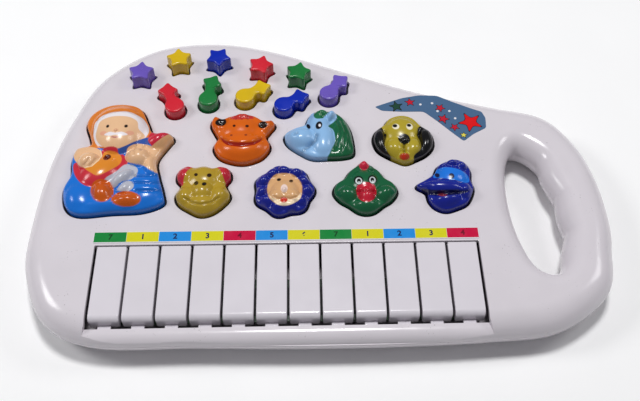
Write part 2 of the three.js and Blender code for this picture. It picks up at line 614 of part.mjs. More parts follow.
part(
  "switch_knob",
  block(
    restX - SWITCH.knobHalf, restX + SWITCH.knobHalf, SWITCH.y - SWITCH.knobHalfWidth,
    SWITCH.y + SWITCH.knobHalfWidth, FLOOR + 0.4, 5,
  ).add(block(restX - 1.3, restX + 1.3, SWITCH.y - 1.3, SWITCH.y + 1.3, 4.9, 9)),
  material(0xc8202c, 0.4),
);
for (const [i, [x, y]] of FEET.entries()) {
  part(`rubber_foot_${i + 1}`, bar(x, y, 0, FOOT.top, FOOT.radius, 16), material(0x55565a, 0.85));
}

export default toy;
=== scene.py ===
import math

import bpy
import numpy as np
from mathutils import Matrix, Vector


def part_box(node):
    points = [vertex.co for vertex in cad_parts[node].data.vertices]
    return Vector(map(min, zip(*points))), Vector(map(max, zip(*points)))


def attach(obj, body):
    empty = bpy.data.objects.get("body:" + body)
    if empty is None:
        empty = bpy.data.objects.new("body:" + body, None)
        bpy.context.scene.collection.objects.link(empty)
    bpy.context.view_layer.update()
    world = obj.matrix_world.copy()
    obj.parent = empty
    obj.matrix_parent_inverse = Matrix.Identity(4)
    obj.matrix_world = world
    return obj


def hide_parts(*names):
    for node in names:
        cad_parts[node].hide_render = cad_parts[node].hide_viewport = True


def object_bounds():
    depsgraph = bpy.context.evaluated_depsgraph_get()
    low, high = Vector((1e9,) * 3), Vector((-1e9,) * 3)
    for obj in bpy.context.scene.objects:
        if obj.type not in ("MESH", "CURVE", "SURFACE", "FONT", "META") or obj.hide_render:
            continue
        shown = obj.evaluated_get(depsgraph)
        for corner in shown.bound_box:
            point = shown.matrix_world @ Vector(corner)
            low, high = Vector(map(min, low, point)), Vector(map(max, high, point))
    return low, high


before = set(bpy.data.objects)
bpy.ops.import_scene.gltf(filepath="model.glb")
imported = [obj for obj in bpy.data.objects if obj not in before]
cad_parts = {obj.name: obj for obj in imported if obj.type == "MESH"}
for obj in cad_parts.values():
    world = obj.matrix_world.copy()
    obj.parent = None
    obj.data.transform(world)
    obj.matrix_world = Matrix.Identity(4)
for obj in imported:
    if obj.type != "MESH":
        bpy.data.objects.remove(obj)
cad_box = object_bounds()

MM = 0.001


def rows(text):
    """Rows of numbers, written as "1,2 3,4"."""
    return np.array([row.split(",") for row in text.split()], float)


# ---- driving dimensions, as in the frame ----
FLOOR = 1.5
SEAM = 17.5
DECK = 30.0
WALL = 2.2
GAP = 0.3
TOP_LEAN = 15.0
BOTTOM_LEAN = 16.0
GRIP_TOP_LEAN = 12.0
GRIP_BOTTOM_LEAN = 13.0
KEY_COUNT = 12
KEY_PITCH = 19.0
KEYS_LEFT = -135.6
KEYS_RIGHT = KEYS_LEFT + KEY_COUNT * KEY_PITCH
SLOT_MARGIN = 0.75
SLOT_BACK = -55.8
LIP_BACK, LIP_TOP, LIP_BOTTOM, LIP_FLARE = -107.7, 24.0, 22.3, 4.0
PIVOT_Y, PIVOT_Z, PIVOT_RADIUS = -52.0, 24.0, 1.5
FLANGE_BOTTOM, FLANGE_TOP, FLANGE_REACH = 25.3, 26.9, 2.1
CLEARANCE = 1.3
DOOR_SCREW_X, DOOR_TAB_OFFSET = 76.3, 12
BAY_LEFT, BAY_RIGHT, BAY_FRONT, BAY_BACK, BAY_ROOF, BAY_WALL = 13, 72, 8.5, 54.5, 19.2, 1.2
CELL_COUNT, FOOT_COUNT = 3, 4
KEY_BACK, KEY_FRONT, KEY_DEPTH = -56.9, -104.5, 9
SCREWS = [(-156, -60), (112, -93), (101, 12), (-22, 91), (-152, 50)]
CASING = rows("179.5,-37 177.5,-6 169,22.5 150.5,46 115,56.5 65,71 15,91 -35,110.5 -75.5,117.5 "
    "-116.5,110.5 -150,83 -166.5,45 -175.8,5.5 -179.1,-35 -177.6,-68 -162,-101 -131,-115 "
    "-75.5,-116 -20.5,-117.4 39.5,-117.4 95,-115.5 136.5,-110.5 168.5,-88 177,-58.5")
GRIP = rows("149.8,-50 150,-34 148.5,-18 145,-4 140,10 128,18.5 120.7,7 118,-11 118,-32 "
    "121.5,-54 129,-71.5 141.5,-73.5")
FINGER_PITCH, FINGER_FIRST, FINGER_DEPTH = 27.0, -19.0, 1.6


# ---- camera ----
def scene_object(name, data):
    obj = bpy.data.objects.new(name, data)
    bpy.context.scene.collection.objects.link(obj)
    return obj


def add_camera():
    """Looks down at the deck from the front, as in the photograph."""
    target, distance = Vector((6.763, -24.8, 29.0)) * MM, 0.521675
    rise, yaw, roll = 0.96586, -0.063718, 0.040314
    back = Vector((math.sin(yaw) * math.cos(rise), -math.cos(yaw) * math.cos(rise),
                   math.sin(rise)))
    level = Vector((math.cos(yaw), math.sin(yaw), 0))
    up = back.cross(level)
    right = math.cos(roll) * level + math.sin(roll) * up
    up = math.cos(roll) * up - math.sin(roll) * level
    data = bpy.data.cameras.new("camera")
    data.lens, data.sensor_width, data.shift_x, data.clip_start = 47.25, 36, -0.021875, 0.01
    camera = scene_object("camera", data)
    camera.matrix_world = Matrix((right, up, back)).transposed().to_4x4()
    camera.location = target + back * distance
    bpy.context.scene.camera = camera


add_camera()


# ---- outlines ----
def smooth(points, per_span):
    """A closed smooth ring through the points, with some samples on each span."""
    p1 = np.array(points, float)
    p0, p2, p3 = np.roll(p1, 1, 0), np.roll(p1, -1, 0), np.roll(p1, -2, 0)
    t = (np.arange(per_span) / per_span)[None, :, None]
    p0, p1, p2, p3 = (p[:, None, :] for p in (p0, p1, p2, p3))
    curve = p1 + t * 0.5 * (p2 - p0) + t**2 * (p0 - 2.5 * p1 + 2 * p2 - 0.5 * p3)
    curve = curve + t**3 * 0.5 * (3 * p1 - p0 - 3 * p2 + p3)
    return curve.reshape(-1, 2)


def outset(ring, amount):
    """Moves an anticlockwise ring outwards, or inwards where the amount is negative."""
    along = np.roll(ring, -1, 0) - np.roll(ring, 1, 0)
    along /= np.linalg.norm(along, axis=1)[:, None]
    return ring + amount * np.column_stack([along[:, 1], -along[:, 0]])


def box_ring(x0, x1, y0, y1, radius=0.0, steps=6):
    """A rectangle, with rounded corners where a radius is given."""
    if radius == 0:
        return np.array([(x0, y0), (x1, y0), (x1, y1), (x0, y1)], float)
    corners = [(x1 - radius, y0 + radius, -90), (x1 - radius, y1 - radius, 0),
               (x0 + radius, y1 - radius, 90), (x0 + radius, y0 + radius, 180)]
    points = []
    for cx, cy, start in corners:
        for angle in np.radians(np.linspace(start, start + 90, steps)):
            points.append((cx + radius * math.cos(angle), cy + radius * math.sin(angle)))
    return np.array(points)


def polar(angle, radius):
    return np.column_stack([radius * np.cos(angle), radius * np.sin(angle)])


def quarter(steps):
    """Angles over a quarter turn."""
    return np.radians(np.linspace(0, 90, steps))


def disc_ring(x, y, radius, count=48):
    return polar(np.arange(count) * 2 * np.pi / count, radius) + (x, y)


def star_ring(reach, turn, per_span=10, notch=0.66, tips=5):
    """A fat star with rounded tips, one of which points along the turn in degrees."""
    corner = np.arange(2 * tips)
    radius = np.where(corner % 2, reach * notch, reach)
    return smooth(polar(np.radians(turn) + corner * np.pi / tips, radius), per_span)


def softened(ring, passes):
    """Rounds the corners of a closed ring a little more with each pass."""
    for _ in range(passes):
        ring = ring / 2 + (np.roll(ring, 1, 0) + np.roll(ring, -1, 0)) / 4
    return ring


def nearest(points, starts, ends):
    """Distance from each point to the nearest of some straight lines."""
    p, along = points[:, None, :], ends - starts
    share = np.clip(((p - starts) * along).sum(2) / (along**2).sum(1), 0, 1)
    gap = p - starts - share[:, :, None] * along
    return np.sqrt((gap**2).sum(2)).min(1)


def signed_distance(points, ring):
    """Distance from each point to the closed ring, negative inside it."""
    after = np.roll(ring, -1, 0)
    distance = nearest(points, ring, after)
    x, y = points[:, :1], points[:, 1:]
    along = after - ring
    rise = np.where(along[:, 1] == 0, 1e-12, along[:, 1])
    spans = (ring[:, 1] > y) != (after[:, 1] > y)
    crossing = ring[:, 0] + (y - ring[:, 1]) / rise * along[:, 0]
    inside = (spans & (x < crossing)).sum(1) % 2 == 1
    return np.where(inside, -distance, distance)


def line_distance(points, line):
    """Distance from each point to an open line."""
    line = np.array(line, float)
    return nearest(points, line[:-1], line[1:])


# ---- meshes ----
def box_mm(node):
    """The low and high corners of a CAD node's box, in millimetres."""
    return [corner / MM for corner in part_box(node)]


def mesh_object(points, faces):
    mesh = bpy.data.meshes.new("shape")
    mesh.from_pydata((np.asarray(points, float) * MM).tolist(), [], faces)
    mesh.update()
    return scene_object("shape", mesh)


def quads(rings, count):
    """Faces between rings of equal point count that follow one another."""
    return [(start + i, start + (i + 1) % count, start + count + (i + 1) % count,
             start + count + i)
            for start in range(0, (rings - 1) * count, count) for i in range(count)]


def loft(levels, axes=(0, 1, 2)):
    """A closed solid through rings of equal point count, given as (ring, height) upwards.

    The axes say where the ring's two directions and the height go.
    """
    count = len(levels[0][0])
    stack = np.vstack([np.column_stack([ring, np.full(count, z)]) for ring, z in levels])
    points = np.empty_like(stack)
    points[:, list(axes)] = stack
    last = len(stack) - count
    caps = [list(range(count))[::-1], list(range(last, last + count))]
    return mesh_object(points, caps + quads(len(levels), count))


def made_mesh(obj):
    """The mesh that an object's modifiers, curve or text make."""
    graph = bpy.context.evaluated_depsgraph_get()
    return bpy.data.meshes.new_from_object(obj.evaluated_get(graph))


def from_curve(curve):
    """Turns a curve or a text into a mesh object."""
    drawn = scene_object("drawn", curve)
    mesh = made_mesh(drawn)
    bpy.data.objects.remove(drawn)
    return scene_object("shape", mesh)


def combine(base, others, operation):
    for other in others:
        modifier = base.modifiers.new("boolean", "BOOLEAN")
        modifier.operation, modifier.solver, modifier.object = operation, "MANIFOLD", other
        spare, made = base.data, made_mesh(base)
        base.modifiers.clear()
        base.data = made
        bpy.data.meshes.remove(spare)
        bpy.data.objects.remove(other)
    return base


def cut(base, others):
    return combine(base, others, "DIFFERENCE")


def join(base, others):
    return combine(base, others, "UNION")


def block(x0, x1, y0, y1, z0, z1, radius=0.0):
    ring = box_ring(x0, x1, y0, y1, radius)
    return loft([(ring, z0), (ring, z1)])


def bar(x, y, z0, z1, radius, top_radius=None, count=48):
    top = disc_ring(x, y, radius if top_radius is None else top_radius, count)
    return loft([(disc_ring(x, y, radius, count), z0), (top, z1)])


def turned(x, y, profile, count=64):
    """An upright turned piece through (radius, height) pairs, from the bottom up."""
    return loft([(disc_ring(x, y, radius, count), z) for radius, z in profile])


def edge_levels(ring, z0, z1, radius, steps=6, bottom=True):
    """Levels of a slab whose top edge, and bottom edge if wanted, is rounded over."""
    rolls = [(outset(ring, -radius * (1 - math.cos(a))), radius * (1 - math.sin(a)))
             for a in quarter(steps)]
    below = [(inner, z0 + lift) for inner, lift in rolls[::-1]] if bottom else [(ring, z0)]
    return below + [(inner, z1 - lift) for inner, lift in rolls]


def hole_levels(ring, z0, z1, radius=0.5, steps=5):
    """Levels of a cutter whose hole opens out with a rounded edge at the height z1."""
    flare = [(outset(ring, radius * (1 - math.cos(a))), z1 - radius * (1 - math.sin(a)))
             for a in quarter(steps)]
    return [(ring, z0)] + flare + [(flare[-1][0], z1 + 1)]


def shade(obj, angle=32):
    """Smooth shading that keeps edges sharper than the angle, and flat faces truly flat."""
    obj.data.shade_smooth()
    obj.data.set_sharp_from_angle(angle=math.radians(angle))
    modifier = obj.modifiers.new("normals", "WEIGHTED_NORMAL")
    modifier.keep_sharp = True
    modifier.weight = 100
    return obj


def inked(obj, *materials):
    """Gives an object these materials only."""
    obj.data.materials.clear()
    for material in materials:
        obj.data.materials.append(material)
    return obj


def piece(obj, name, body, node, material=None):
    """Names a finished piece that replaces a CAD node, and hangs it on its body."""
    obj.name = obj.data.name = name
    if material is not None:
        inked(obj, material)
    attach(obj, body)
    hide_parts(node)


# ---- materials ----
def linear(code):
    """An sRGB colour such as 'd9d5dc' as linear values."""
    values = [int(code[i:i + 2], 16) / 255 for i in (0, 2, 4)]
    return [v / 12.92 if v <= 0.04045 else ((v + 0.055) / 1.055) ** 2.4 for v in values]


class Nodes:
    """Short calls for building one material's node tree."""

    def __init__(self, name):
        self.material = bpy.data.materials.new(name)
        self.material.use_nodes = True
        self.tree = self.material.node_tree
        self.shader = self.tree.nodes["Principled BSDF"]
        self.place = self.add("ShaderNodeTexCoord").outputs["Object"]

    def add(self, kind, **values):
        node = self.tree.nodes.new(kind)
        for key, value in values.items():
            setattr(node, key, value)
        return node

    def link(self, source, target):
        self.tree.links.new(source, target)

    def noise(self, size, detail=3.0, roughness=0.5):
        """Noise whose features are about the given size in millimetres."""
        node = self.add("ShaderNodeTexNoise")
        node.inputs["Scale"].default_value = 1 / (size * MM)
        node.inputs["Detail"].default_value = detail
        node.inputs["Roughness"].default_value = roughness
        self.link(self.place, node.inputs["Vector"])
        return node.outputs["Fac"]

    def ranged(self, source, low, high, start=0.3, end=0.7):
        """Maps a value from start to end on to low to high."""
        node = self.add("ShaderNodeMapRange")
        for key, value in zip(("From Min", "From Max", "To Min", "To Max"),
                              (start, end, low, high)):
            node.inputs[key].default_value = value
        self.link(source, node.inputs["Value"])
        return node.outputs["Result"]

    def mixed(self, share, first, second):
        """Mixes two colours, each a list of linear values or a socket."""
        node = self.add("ShaderNodeMix", data_type="RGBA")
        if isinstance(share, (int, float)):
            node.inputs[0].default_value = share
        else:
            self.link(share, node.inputs[0])
        for value, socket in ((first, node.inputs[6]), (second, node.inputs[7])):
            if isinstance(value, (list, tuple)):
                socket.default_value = (*value, 1)
            else:
                self.link(value, socket)
        return node.outputs[2]

    def bump(self, source, depth, strength=1.0, after=None):
        """Relief of the given depth in millimetres."""
        node = self.add("ShaderNodeBump")
        node.inputs["Strength"].default_value = strength
        node.inputs["Distance"].default_value = depth * MM
        self.link(source, node.inputs["Height"])
        if after is not None:
            self.link(after, node.inputs["Normal"])
        return node.outputs["Normal"]

    def finish(self, colour, rough=None, normal=None, **plain):
        """Drives the shader with these sockets and plain values, and gives the material."""
        inputs = self.shader.inputs
        for key, source in (("Base Color", colour), ("Roughness", rough), ("Normal", normal)):
            if source is not None:
                self.link(source, inputs[key])
        for key, value in plain.items():
            inputs[key.replace("_", " ")].default_value = value
        return self.material


def dulled(base, share, lift=0.0):
    return [v * share + lift for v in base]


def plastic(name, colour, rough=0.22, uneven=0.05, ripple=0.02, specks=0.0):
    """Glossy moulded plastic with faint flow marks, fine ripple and scuffed patches.

    The colour is a code, or None where it is painted on the points of the mesh.
    """
    n = Nodes(name)
    if colour is None:
        base = n.add("ShaderNodeVertexColor", layer_name="paint").outputs["Color"]
        worn = n.mixed(0.35, base, [0.02, 0.02, 0.025])
        shown = n.mixed(0.75, n.mixed(n.ranged(n.noise(5, 4), 0, 0.35), base, worn), base)
    else:
        base = linear(colour)
        shown = n.mixed(n.ranged(n.noise(22, 2), 0, 1), base, dulled(base, 1 - 3 * uneven))
    if specks:
        share = n.add("ShaderNodeMath", operation="MULTIPLY")
        n.link(n.ranged(n.noise(0.9, 1), 0, 1, 0.735, 0.76), share.inputs[0])
        n.link(n.ranged(n.noise(14, 1), 0, specks, 0.55, 0.6), share.inputs[1])
        shown = n.mixed(share.outputs[0], shown, [0.08, 0.07, 0.06])
    fine = n.bump(n.noise(0.7, 2), 0.02, ripple * 10)
    return n.finish(shown, n.ranged(n.noise(9, 5, 0.6), rough * 0.8, rough * 1.35),
                    n.bump(n.noise(11, 1), 0.35, ripple * 5, fine))


def metal(name, colour, rough=0.3):
    """Plated steel with drawn lines, dull patches and a few tarnished spots."""
    n = Nodes(name)
    base = linear(colour)
    return n.finish(n.mixed(n.ranged(n.noise(3, 4), 0, 0.6, 0.5, 0.75), base, dulled(base, 0.45)),
                    n.ranged(n.noise(1.2, 4), rough * 0.7, rough * 1.6),
                    n.bump(n.noise(0.3, 3), 0.02, 0.3), Metallic=1.0)


def rubber(name, colour, rough=0.7):
    """Matt rubber or card with a fine grain and dusty patches."""
    n = Nodes(name)
    base = linear(colour)
    return n.finish(n.mixed(n.ranged(n.noise(4, 5), 0, 0.5), base, dulled(base, 0.6, 0.06)),
                    n.ranged(n.noise(2, 3), rough * 0.85, min(1, rough * 1.2)),
                    n.bump(n.noise(0.25, 3), 0.05, 0.5))


def laminate(name, colour, tracks):
    """Circuit board: lacquer over pale tracks that run in cells."""
    n = Nodes(name)
    cells = n.add("ShaderNodeTexVoronoi", feature="DISTANCE_TO_EDGE")
    cells.inputs["Scale"].default_value = 1 / (6 * MM)
    n.link(n.place, cells.inputs["Vector"])
    line = n.ranged(cells.outputs["Distance"], 1, 0, 0.04, 0.07)
    base = linear(colour)
    mottled = n.mixed(n.ranged(n.noise(8), 0, 1), base, dulled(base, 0.7))
    return n.finish(n.mixed(line, mottled, linear(tracks)), n.ranged(n.noise(3), 0.3, 0.5),
                    n.bump(line, 0.05, 0.5))


CASING_PLASTIC = plastic("casing_plastic", "dad4da", 0.17, 0.012, 0.004, specks=0.5)
KEY_PLASTIC = plastic("key_plastic", "dcd7de", 0.16, 0.012, 0.004)
PAINTED = plastic("painted_plastic", None, 0.2, 0.04, 0.004)


# ---- casing ----
plan_low, plan_high = (np.array(corner)[:2] / MM for corner in cad_box)
casing_ring = np.clip(smooth(CASING, 10), plan_low, plan_high)


def smoothstep(x, low, high):
    t = np.clip((x - low) / (high - low), 0, 1)
    return t * t * (3 - 2 * t)


def grip_ring(share):
    """The handle opening, with finger bumps that fade with the given share."""
    ring = smooth(GRIP, 14)
    x, y = ring.T
    where = smoothstep(x, 138, 145) * smoothstep(y, -74, -60)
    wave = np.abs(np.sin(np.pi * (y - FINGER_FIRST) / FINGER_PITCH))
    return np.column_stack([x - FINGER_DEPTH * wave * where * share, y])


def rounded(ring_at, z0, z1, lean, inset):
    """Rings that turn an outline over from the height z0 towards the flat at z1."""
    return [(outset(ring_at(math.cos(a)), inset(lean * (1 - math.cos(a)))),
             z0 + (z1 - z0) * math.sin(a)) for a in quarter(20)]


def upward(levels):
    return levels if levels[-1][1] > levels[0][1] else levels[::-1]


def casing_half(z0, z1, lean, wall=0.0, beyond=None):
    levels = rounded(lambda share: casing_ring, z0, z1, lean, lambda inset: -inset - wall)
    if beyond is not None:
        levels.insert(0, (levels[0][0], beyond))
    return loft(upward(levels))


def grip_half(z0, z1, lean, beyond, past, wall=0.0):
    levels = rounded(grip_ring, z0, z1, lean, lambda inset: inset + wall)
    levels.insert(0, (levels[0][0], beyond))
    levels.append((levels[-1][0], past))
    return loft(upward(levels))


def lip_cutter():
    """Cuts the step in front of the keys, which rounds down to the seam."""
    left, right = KEYS_LEFT - SLOT_MARGIN, KEYS_RIGHT + SLOT_MARGIN
    back, front = LIP_BACK + 1, -119
    curve = [(-109.6 - 7.4 * math.sin(a), SEAM + 6.5 * math.cos(a))
             for a in np.radians(np.linspace(0, 82, 14))]
    section = [(back, DECK + 1), (front, DECK + 1), (front, curve[-1][1])]
    section = np.array(section + curve[::-1] + [(back, LIP_TOP)])
    step = loft([(section, left - 10), (section, right + 10)], axes=(1, 2, 0))
    plan = np.array([(left, back), (left - LIP_FLARE, front), (right + LIP_FLARE, front),
                     (right, back)])
    return combine(step, [loft([(plan, 0), (plan, DECK + 1)])], "INTERSECT")


def top_shell(hole_rings):
    shell = cut(casing_half(SEAM + GAP / 2, DECK, TOP_LEAN),
                [casing_half(SEAM, DECK - WALL, TOP_LEAN, WALL, SEAM - 1)])
    lip = combine(block(KEYS_LEFT - 8, KEYS_RIGHT + 8, -119, LIP_BACK, LIP_BOTTOM, LIP_TOP + 1),
                  [casing_half(SEAM + GAP / 2, DECK, TOP_LEAN)], "INTERSECT")
    tube = grip_half(SEAM + GAP / 2, DECK - WALL, GRIP_TOP_LEAN, SEAM + GAP / 4, DECK, WALL)
    join(shell, [lip, tube])
    cut(shell, [grip_half(SEAM, DECK, GRIP_TOP_LEAN, SEAM - 1, DECK + 1)])
    slot = box_ring(KEYS_LEFT - SLOT_MARGIN, KEYS_RIGHT + SLOT_MARGIN, LIP_BACK, SLOT_BACK, 0.6)
    cut(shell, [loft(hole_levels(slot, SEAM - 2, DECK, 0.4)), lip_cutter()])
    cut(shell, [loft(hole_levels(ring, DECK - WALL - 1, DECK)) for ring in hole_rings])
    return shell


def bottom_shell():
    shell = cut(casing_half(SEAM - GAP / 2, FLOOR, BOTTOM_LEAN),
                [casing_half(SEAM, FLOOR + WALL, BOTTOM_LEAN, WALL, SEAM + 1)])
    tube = grip_half(SEAM - GAP / 2, FLOOR + WALL, GRIP_BOTTOM_LEAN, SEAM - GAP / 4, FLOOR, WALL)
    join(shell, [tube])
    cut(shell, [grip_half(SEAM, FLOOR, GRIP_BOTTOM_LEAN, SEAM + 1, FLOOR - 1)])
    middle = (BAY_FRONT + BAY_BACK) / 2
    join(shell, [block(BAY_LEFT - BAY_WALL, BAY_RIGHT + 9, BAY_FRONT - BAY_WALL,
                       BAY_BACK + BAY_WALL, FLOOR + 1, BAY_ROOF + BAY_WALL)])
    for x, y in SCREWS:
        post = combine(bar(x, y, FLOOR + 1, SEAM - 1.9, 4.8),
                       [casing_half(SEAM - GAP / 2, FLOOR, BOTTOM_LEAN)], "INTERSECT")
        join(shell, [post])
        cut(shell, [bar(x, y, FLOOR - 1, 6.6, 3.2), bar(x, y, 6, SEAM, 1.8)])
    cutters = [block(BAY_LEFT, BAY_RIGHT, BAY_FRONT, BAY_BACK, FLOOR - 1, BAY_ROOF),
               block(11.5, 80.5, BAY_FRONT - 1, BAY_BACK + 1, FLOOR - 1, FLOOR + WALL, 1.5),
               bar(DOOR_SCREW_X, middle, FLOOR + 1, 5.6, 4.6),
               bar(DOOR_SCREW_X, middle, FLOOR + 1, 13, 2.4)]
    for y in (middle - DOOR_TAB_OFFSET, middle + DOOR_TAB_OFFSET):
        cutters.append(block(8.4, BAY_LEFT + 1, y - 3.3, y + 3.3, FLOOR + 0.6,
                             FLOOR + WALL + 0.6))
    for y in range(35, 60, 5):  # speaker grille
        cutters.append(block(-122, -98, y - 1.2, y + 1.2, FLOOR - 1, 5, 1.1))
    cutters.append(block(-66.4, -53.6, -32.8, -27.2, FLOOR - 1, 5, 0.8))  # switch slot
    for i in range(FOOT_COUNT):
        low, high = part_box(f"rubber_foot_{i + 1}")
        x, y = (low.x + high.x) / 2 / MM, (low.y + high.y) / 2 / MM
        cutters.append(bar(x, y, FLOOR - 1, 2.4, 7.4))
    return cut(shell, cutters)


# ---- keys ----
def shrunk(ring, amount):
    """Moves each corner of an anticlockwise ring inwards so that its sides stay parallel."""
    def inward(along):
        along = along / np.linalg.norm(along, axis=1)[:, None]
        return np.column_stack([-along[:, 1], along[:, 0]])

    after = inward(np.roll(ring, -1, 0) - ring)
    middle = inward(ring - np.roll(ring, 1, 0)) + after
    return ring + middle * (amount / np.maximum((middle * after).sum(1), 0.35))[:, None]


def key_cap(index):
    """One key: a rounded cap, open underneath, with a stop tab in front and a foot below."""
    low, high = box_mm(f"key_{index + 1:02d}")
    left, right, top = low.x, high.x, high.z
    bottom = top - KEY_DEPTH
    nose = [(KEY_FRONT + 3.4 - 3.4 * math.sin(a), top - 3.4 + 3.4 * math.cos(a))
            for a in quarter(9)]
    rear = [(KEY_BACK + 0.6 - 0.6 * math.cos(a), top - 0.6 + 0.6 * math.sin(a))
            for a in quarter(4)]
    side = np.array([(-48.5, bottom + 1), (-48.5, 27.2), (KEY_BACK, 27.2)] + rear + nose
                    + [(KEY_FRONT, bottom), (-56, bottom)])
    edge = 0.9
    levels = [(shrunk(side, edge * (1 - math.cos(a))), left + edge * (1 - math.sin(a)))
              for a in quarter(6)][::-1]
    levels += [(ring, left + right - x) for ring, x in levels[::-1]]
    cap = loft(levels, axes=(1, 2, 0))
    middle = (left + right) / 2
    cut(cap, [block(left + 1.5, right - 1.5, KEY_FRONT + 1.8, -58, bottom - 1, top - 2)])
    join(cap, [block(middle - 3.7, middle + 3.7, -109.3, KEY_FRONT + 1, 20, 22.1, 0.3),
               block(middle - 2, middle + 2, -87, -83, bottom - 5, top - 1, 0.3)])
    bore = disc_ring(PIVOT_Y, PIVOT_Z, PIVOT_RADIUS + GAP)
    return cut(cap, [loft([(bore, left - 1), (bore, right + 1)], axes=(1, 2, 0))])


for i in range(KEY_COUNT):
    body = f"key_{i + 1:02d}"
    piece(shade(key_cap(i)), f"{body}_cap", body, body, KEY_PLASTIC)


# ---- star and note buttons ----
def contour(distance, reach, step=0.25):
    """The closed line where a signed distance is zero, anticlockwise, about the origin."""
    axis = np.arange(-reach, reach + step, step)
    x, y = np.meshgrid(axis, axis)
    field = distance(np.column_stack([x.ravel(), y.ravel()])).reshape(x.shape)
    inside = field < 0
    links, where = {}, {}

    def crossing(a, b):
        edge = (min(a, b), max(a, b))
        share = field[a] / (field[a] - field[b])
        where[edge] = [axis[a[1]] + share * (axis[b[1]] - axis[a[1]]),
                       axis[a[0]] + share * (axis[b[0]] - axis[a[0]])]
        return edge

    for r, c in np.ndindex(inside.shape[0] - 1, inside.shape[1] - 1):
        corners = [(r, c), (r, c + 1), (r + 1, c + 1), (r + 1, c)]
        count = sum(inside[corner] for corner in corners)
        if count in (0, 4):
            continue
        for a, b in zip(corners, corners[1:] + corners[:1]):
            if inside[a] and not inside[b]:
                leaving = crossing(a, b)
            if inside[b] and not inside[a]:
                entering = crossing(a, b)
        links[leaving] = entering
    start = next(iter(links))
    edges = [start]
    while links[edges[-1]] != start and len(edges) <= len(links):
        edges.append(links[edges[-1]])
    line = np.array([where[edge] for edge in edges])
    closed = np.vstack([line, line[:1]])
    lengths = np.linalg.norm(np.diff(closed, axis=0), axis=1)
    travel = np.concatenate([[0], np.cumsum(lengths)])
    even = np.linspace(0, travel[-1], int(travel[-1] / 0.45), endpoint=False)
    ring = softened(np.column_stack([np.interp(even, travel, xy) for xy in closed.T]), 5)
    area = (ring[:, 0] * np.roll(ring[:, 1], -1) - np.roll(ring[:, 0], -1) * ring[:, 1]).sum()
    return ring if area > 0 else ring[::-1]


def star(turn):
    """A star button's outline as a function of how far it is grown."""
    return lambda grow: softened(star_ring(8.9 + grow, turn, notch=0.63), 9)


def note(direction, length):
    """A round body with a neck that ends in a small four-pointed star, its corners softened."""
    angle = math.radians(direction)
    end = np.array([math.cos(angle), math.sin(angle)]) * length
    tail = star_ring(6.8, direction - 18, 6, tips=4) + end

    def distance(p):
        parts = [np.linalg.norm(p, axis=1) - 6.3, line_distance(p, [(0, 0), end]) - 3.1,
                 signed_distance(p, tail)]
        blend = 0.8
        return -blend * np.log(sum(np.exp(-part / blend) for part in parts))

    return lambda grow: contour(lambda p: distance(p) - grow, 26)


MOULDED = {name: plastic(f"moulded_{name}", code, 0.24, 0.05, 0.015) for name, code in (
    ("purple", "6f59c0"), ("yellow", "dab612"), ("blue", "0028b0"), ("red", "d42334"),
    ("green", "187c3a"))}
# The flanges under the buttons are painted near-black as shade, so that the gaps around the
# buttons look dark.
FLANGE_SHADE_COLOUR = "17161a"
FLANGE_SHADE_MATERIAL = plastic("flange_painted_shade", FLANGE_SHADE_COLOUR, 0.45, 0.06, 0.02)
FLAT_BUTTONS = [
    ("star_button_purple", -120.6, 76.3, star(89), 10),
    ("star_button_yellow", -96, 88.4, star(97), 10),
    ("star_button_blue", -69.2, 89, star(60), 10),
    ("star_button_red", -40.2, 81.6, star(74), 10),
    ("star_button_green", -14.6, 75.1, star(78), 10),
    ("note_button_red", -96.3, 48, note(113, 14), 7.5),
    ("note_button_green", -74.7, 53.5, note(82, 14.5), 7.5),
    ("note_button_yellow", -50.4, 55.8, note(34, 13), 7.5),
    ("note_button_blue", -24.6, 48, note(32, 12.5), 7.5),
    ("note_button_purple", 5.7, 57.8, note(54, 13), 7.5),
]


def flat_button(ring_at, rise, finish):
    """A straight-sided moulding with a rounded rim and a crowned top, on a flange painted
    near-black as shade.
    """
    top = DECK + rise
    ring = ring_at(0)
    levels = [(ring, FLANGE_BOTTOM + 0.2)]
    levels += edge_levels(ring, FLANGE_TOP, top - 0.25, 1.2, 8, bottom=False)[1:]
    rim = levels[-1][0]
    middle = rim.mean(0)
    for size in (0.75, 0.5, 0.25, 0.02):
        levels.append((middle + (rim - middle) * size, top - 0.25 * size**2))
    flange = ring_at(FLANGE_REACH)
    body = inked(join(loft(levels), [loft([(flange, FLANGE_BOTTOM), (flange, FLANGE_TOP)])]),
                 finish, FLANGE_SHADE_MATERIAL)
    # Faces below the flange top get the near-black painted shade.
    for face in body.data.polygons:
        face.material_index = int(face.center.z < (FLANGE_TOP + 0.05) * MM)
    return body


hole_rings = []
for name, x, y, ring_at, rise in FLAT_BUTTONS:
    hole_rings.append(ring_at(CLEARANCE) + (x, y))
    tint = name.split("_")[-1]
    moulding = flat_button(ring_at, rise, MOULDED[tint])
    moulding.data.transform(Matrix.Translation(Vector((x, y, 0)) * MM))
    piece(shade(moulding), f"{name}_moulding", name, name)


# ---- picture buttons ----
# Mounds (x, y, two radii, turn, height) and outlines are laid out on the deck, about the button's
# middle. Grooves (width, depth, line) and painted areas are laid out as a player sees them,
# leaning back: SLANT is how far up the picture a point moves for each millimetre that it stands
# above the artwork's own height.
SLANT = 0.69
WALL_RISE = 2.4  # the straight part of a button's side above the deck
SOFT_EDGE = 0.35  # width over which one paint colour meets the next


def turned_frame(p, x, y, turn):
    """How far each point lies along and across axes that stand at x, y and are turned."""
    c, s = math.cos(math.radians(turn)), math.sin(math.radians(turn))
    return (p[:, 0] - x) * c + (p[:, 1] - y) * s, (p[:, 1] - y) * c - (p[:, 0] - x) * s


def dab(x, y, rx, ry, turn=0.0):
    """A painted ellipse, as a function that gives the distance to its edge."""
    def distance(p):
        u, v = turned_frame(p, x, y, turn)
        return (np.hypot(u / rx, v / ry) - 1) * min(rx, ry)

    return distance


def patch(text):
    """A painted area with a smooth edge through the points."""
    ring = smooth(rows(text), 5)
    return lambda p: signed_distance(p, ring)


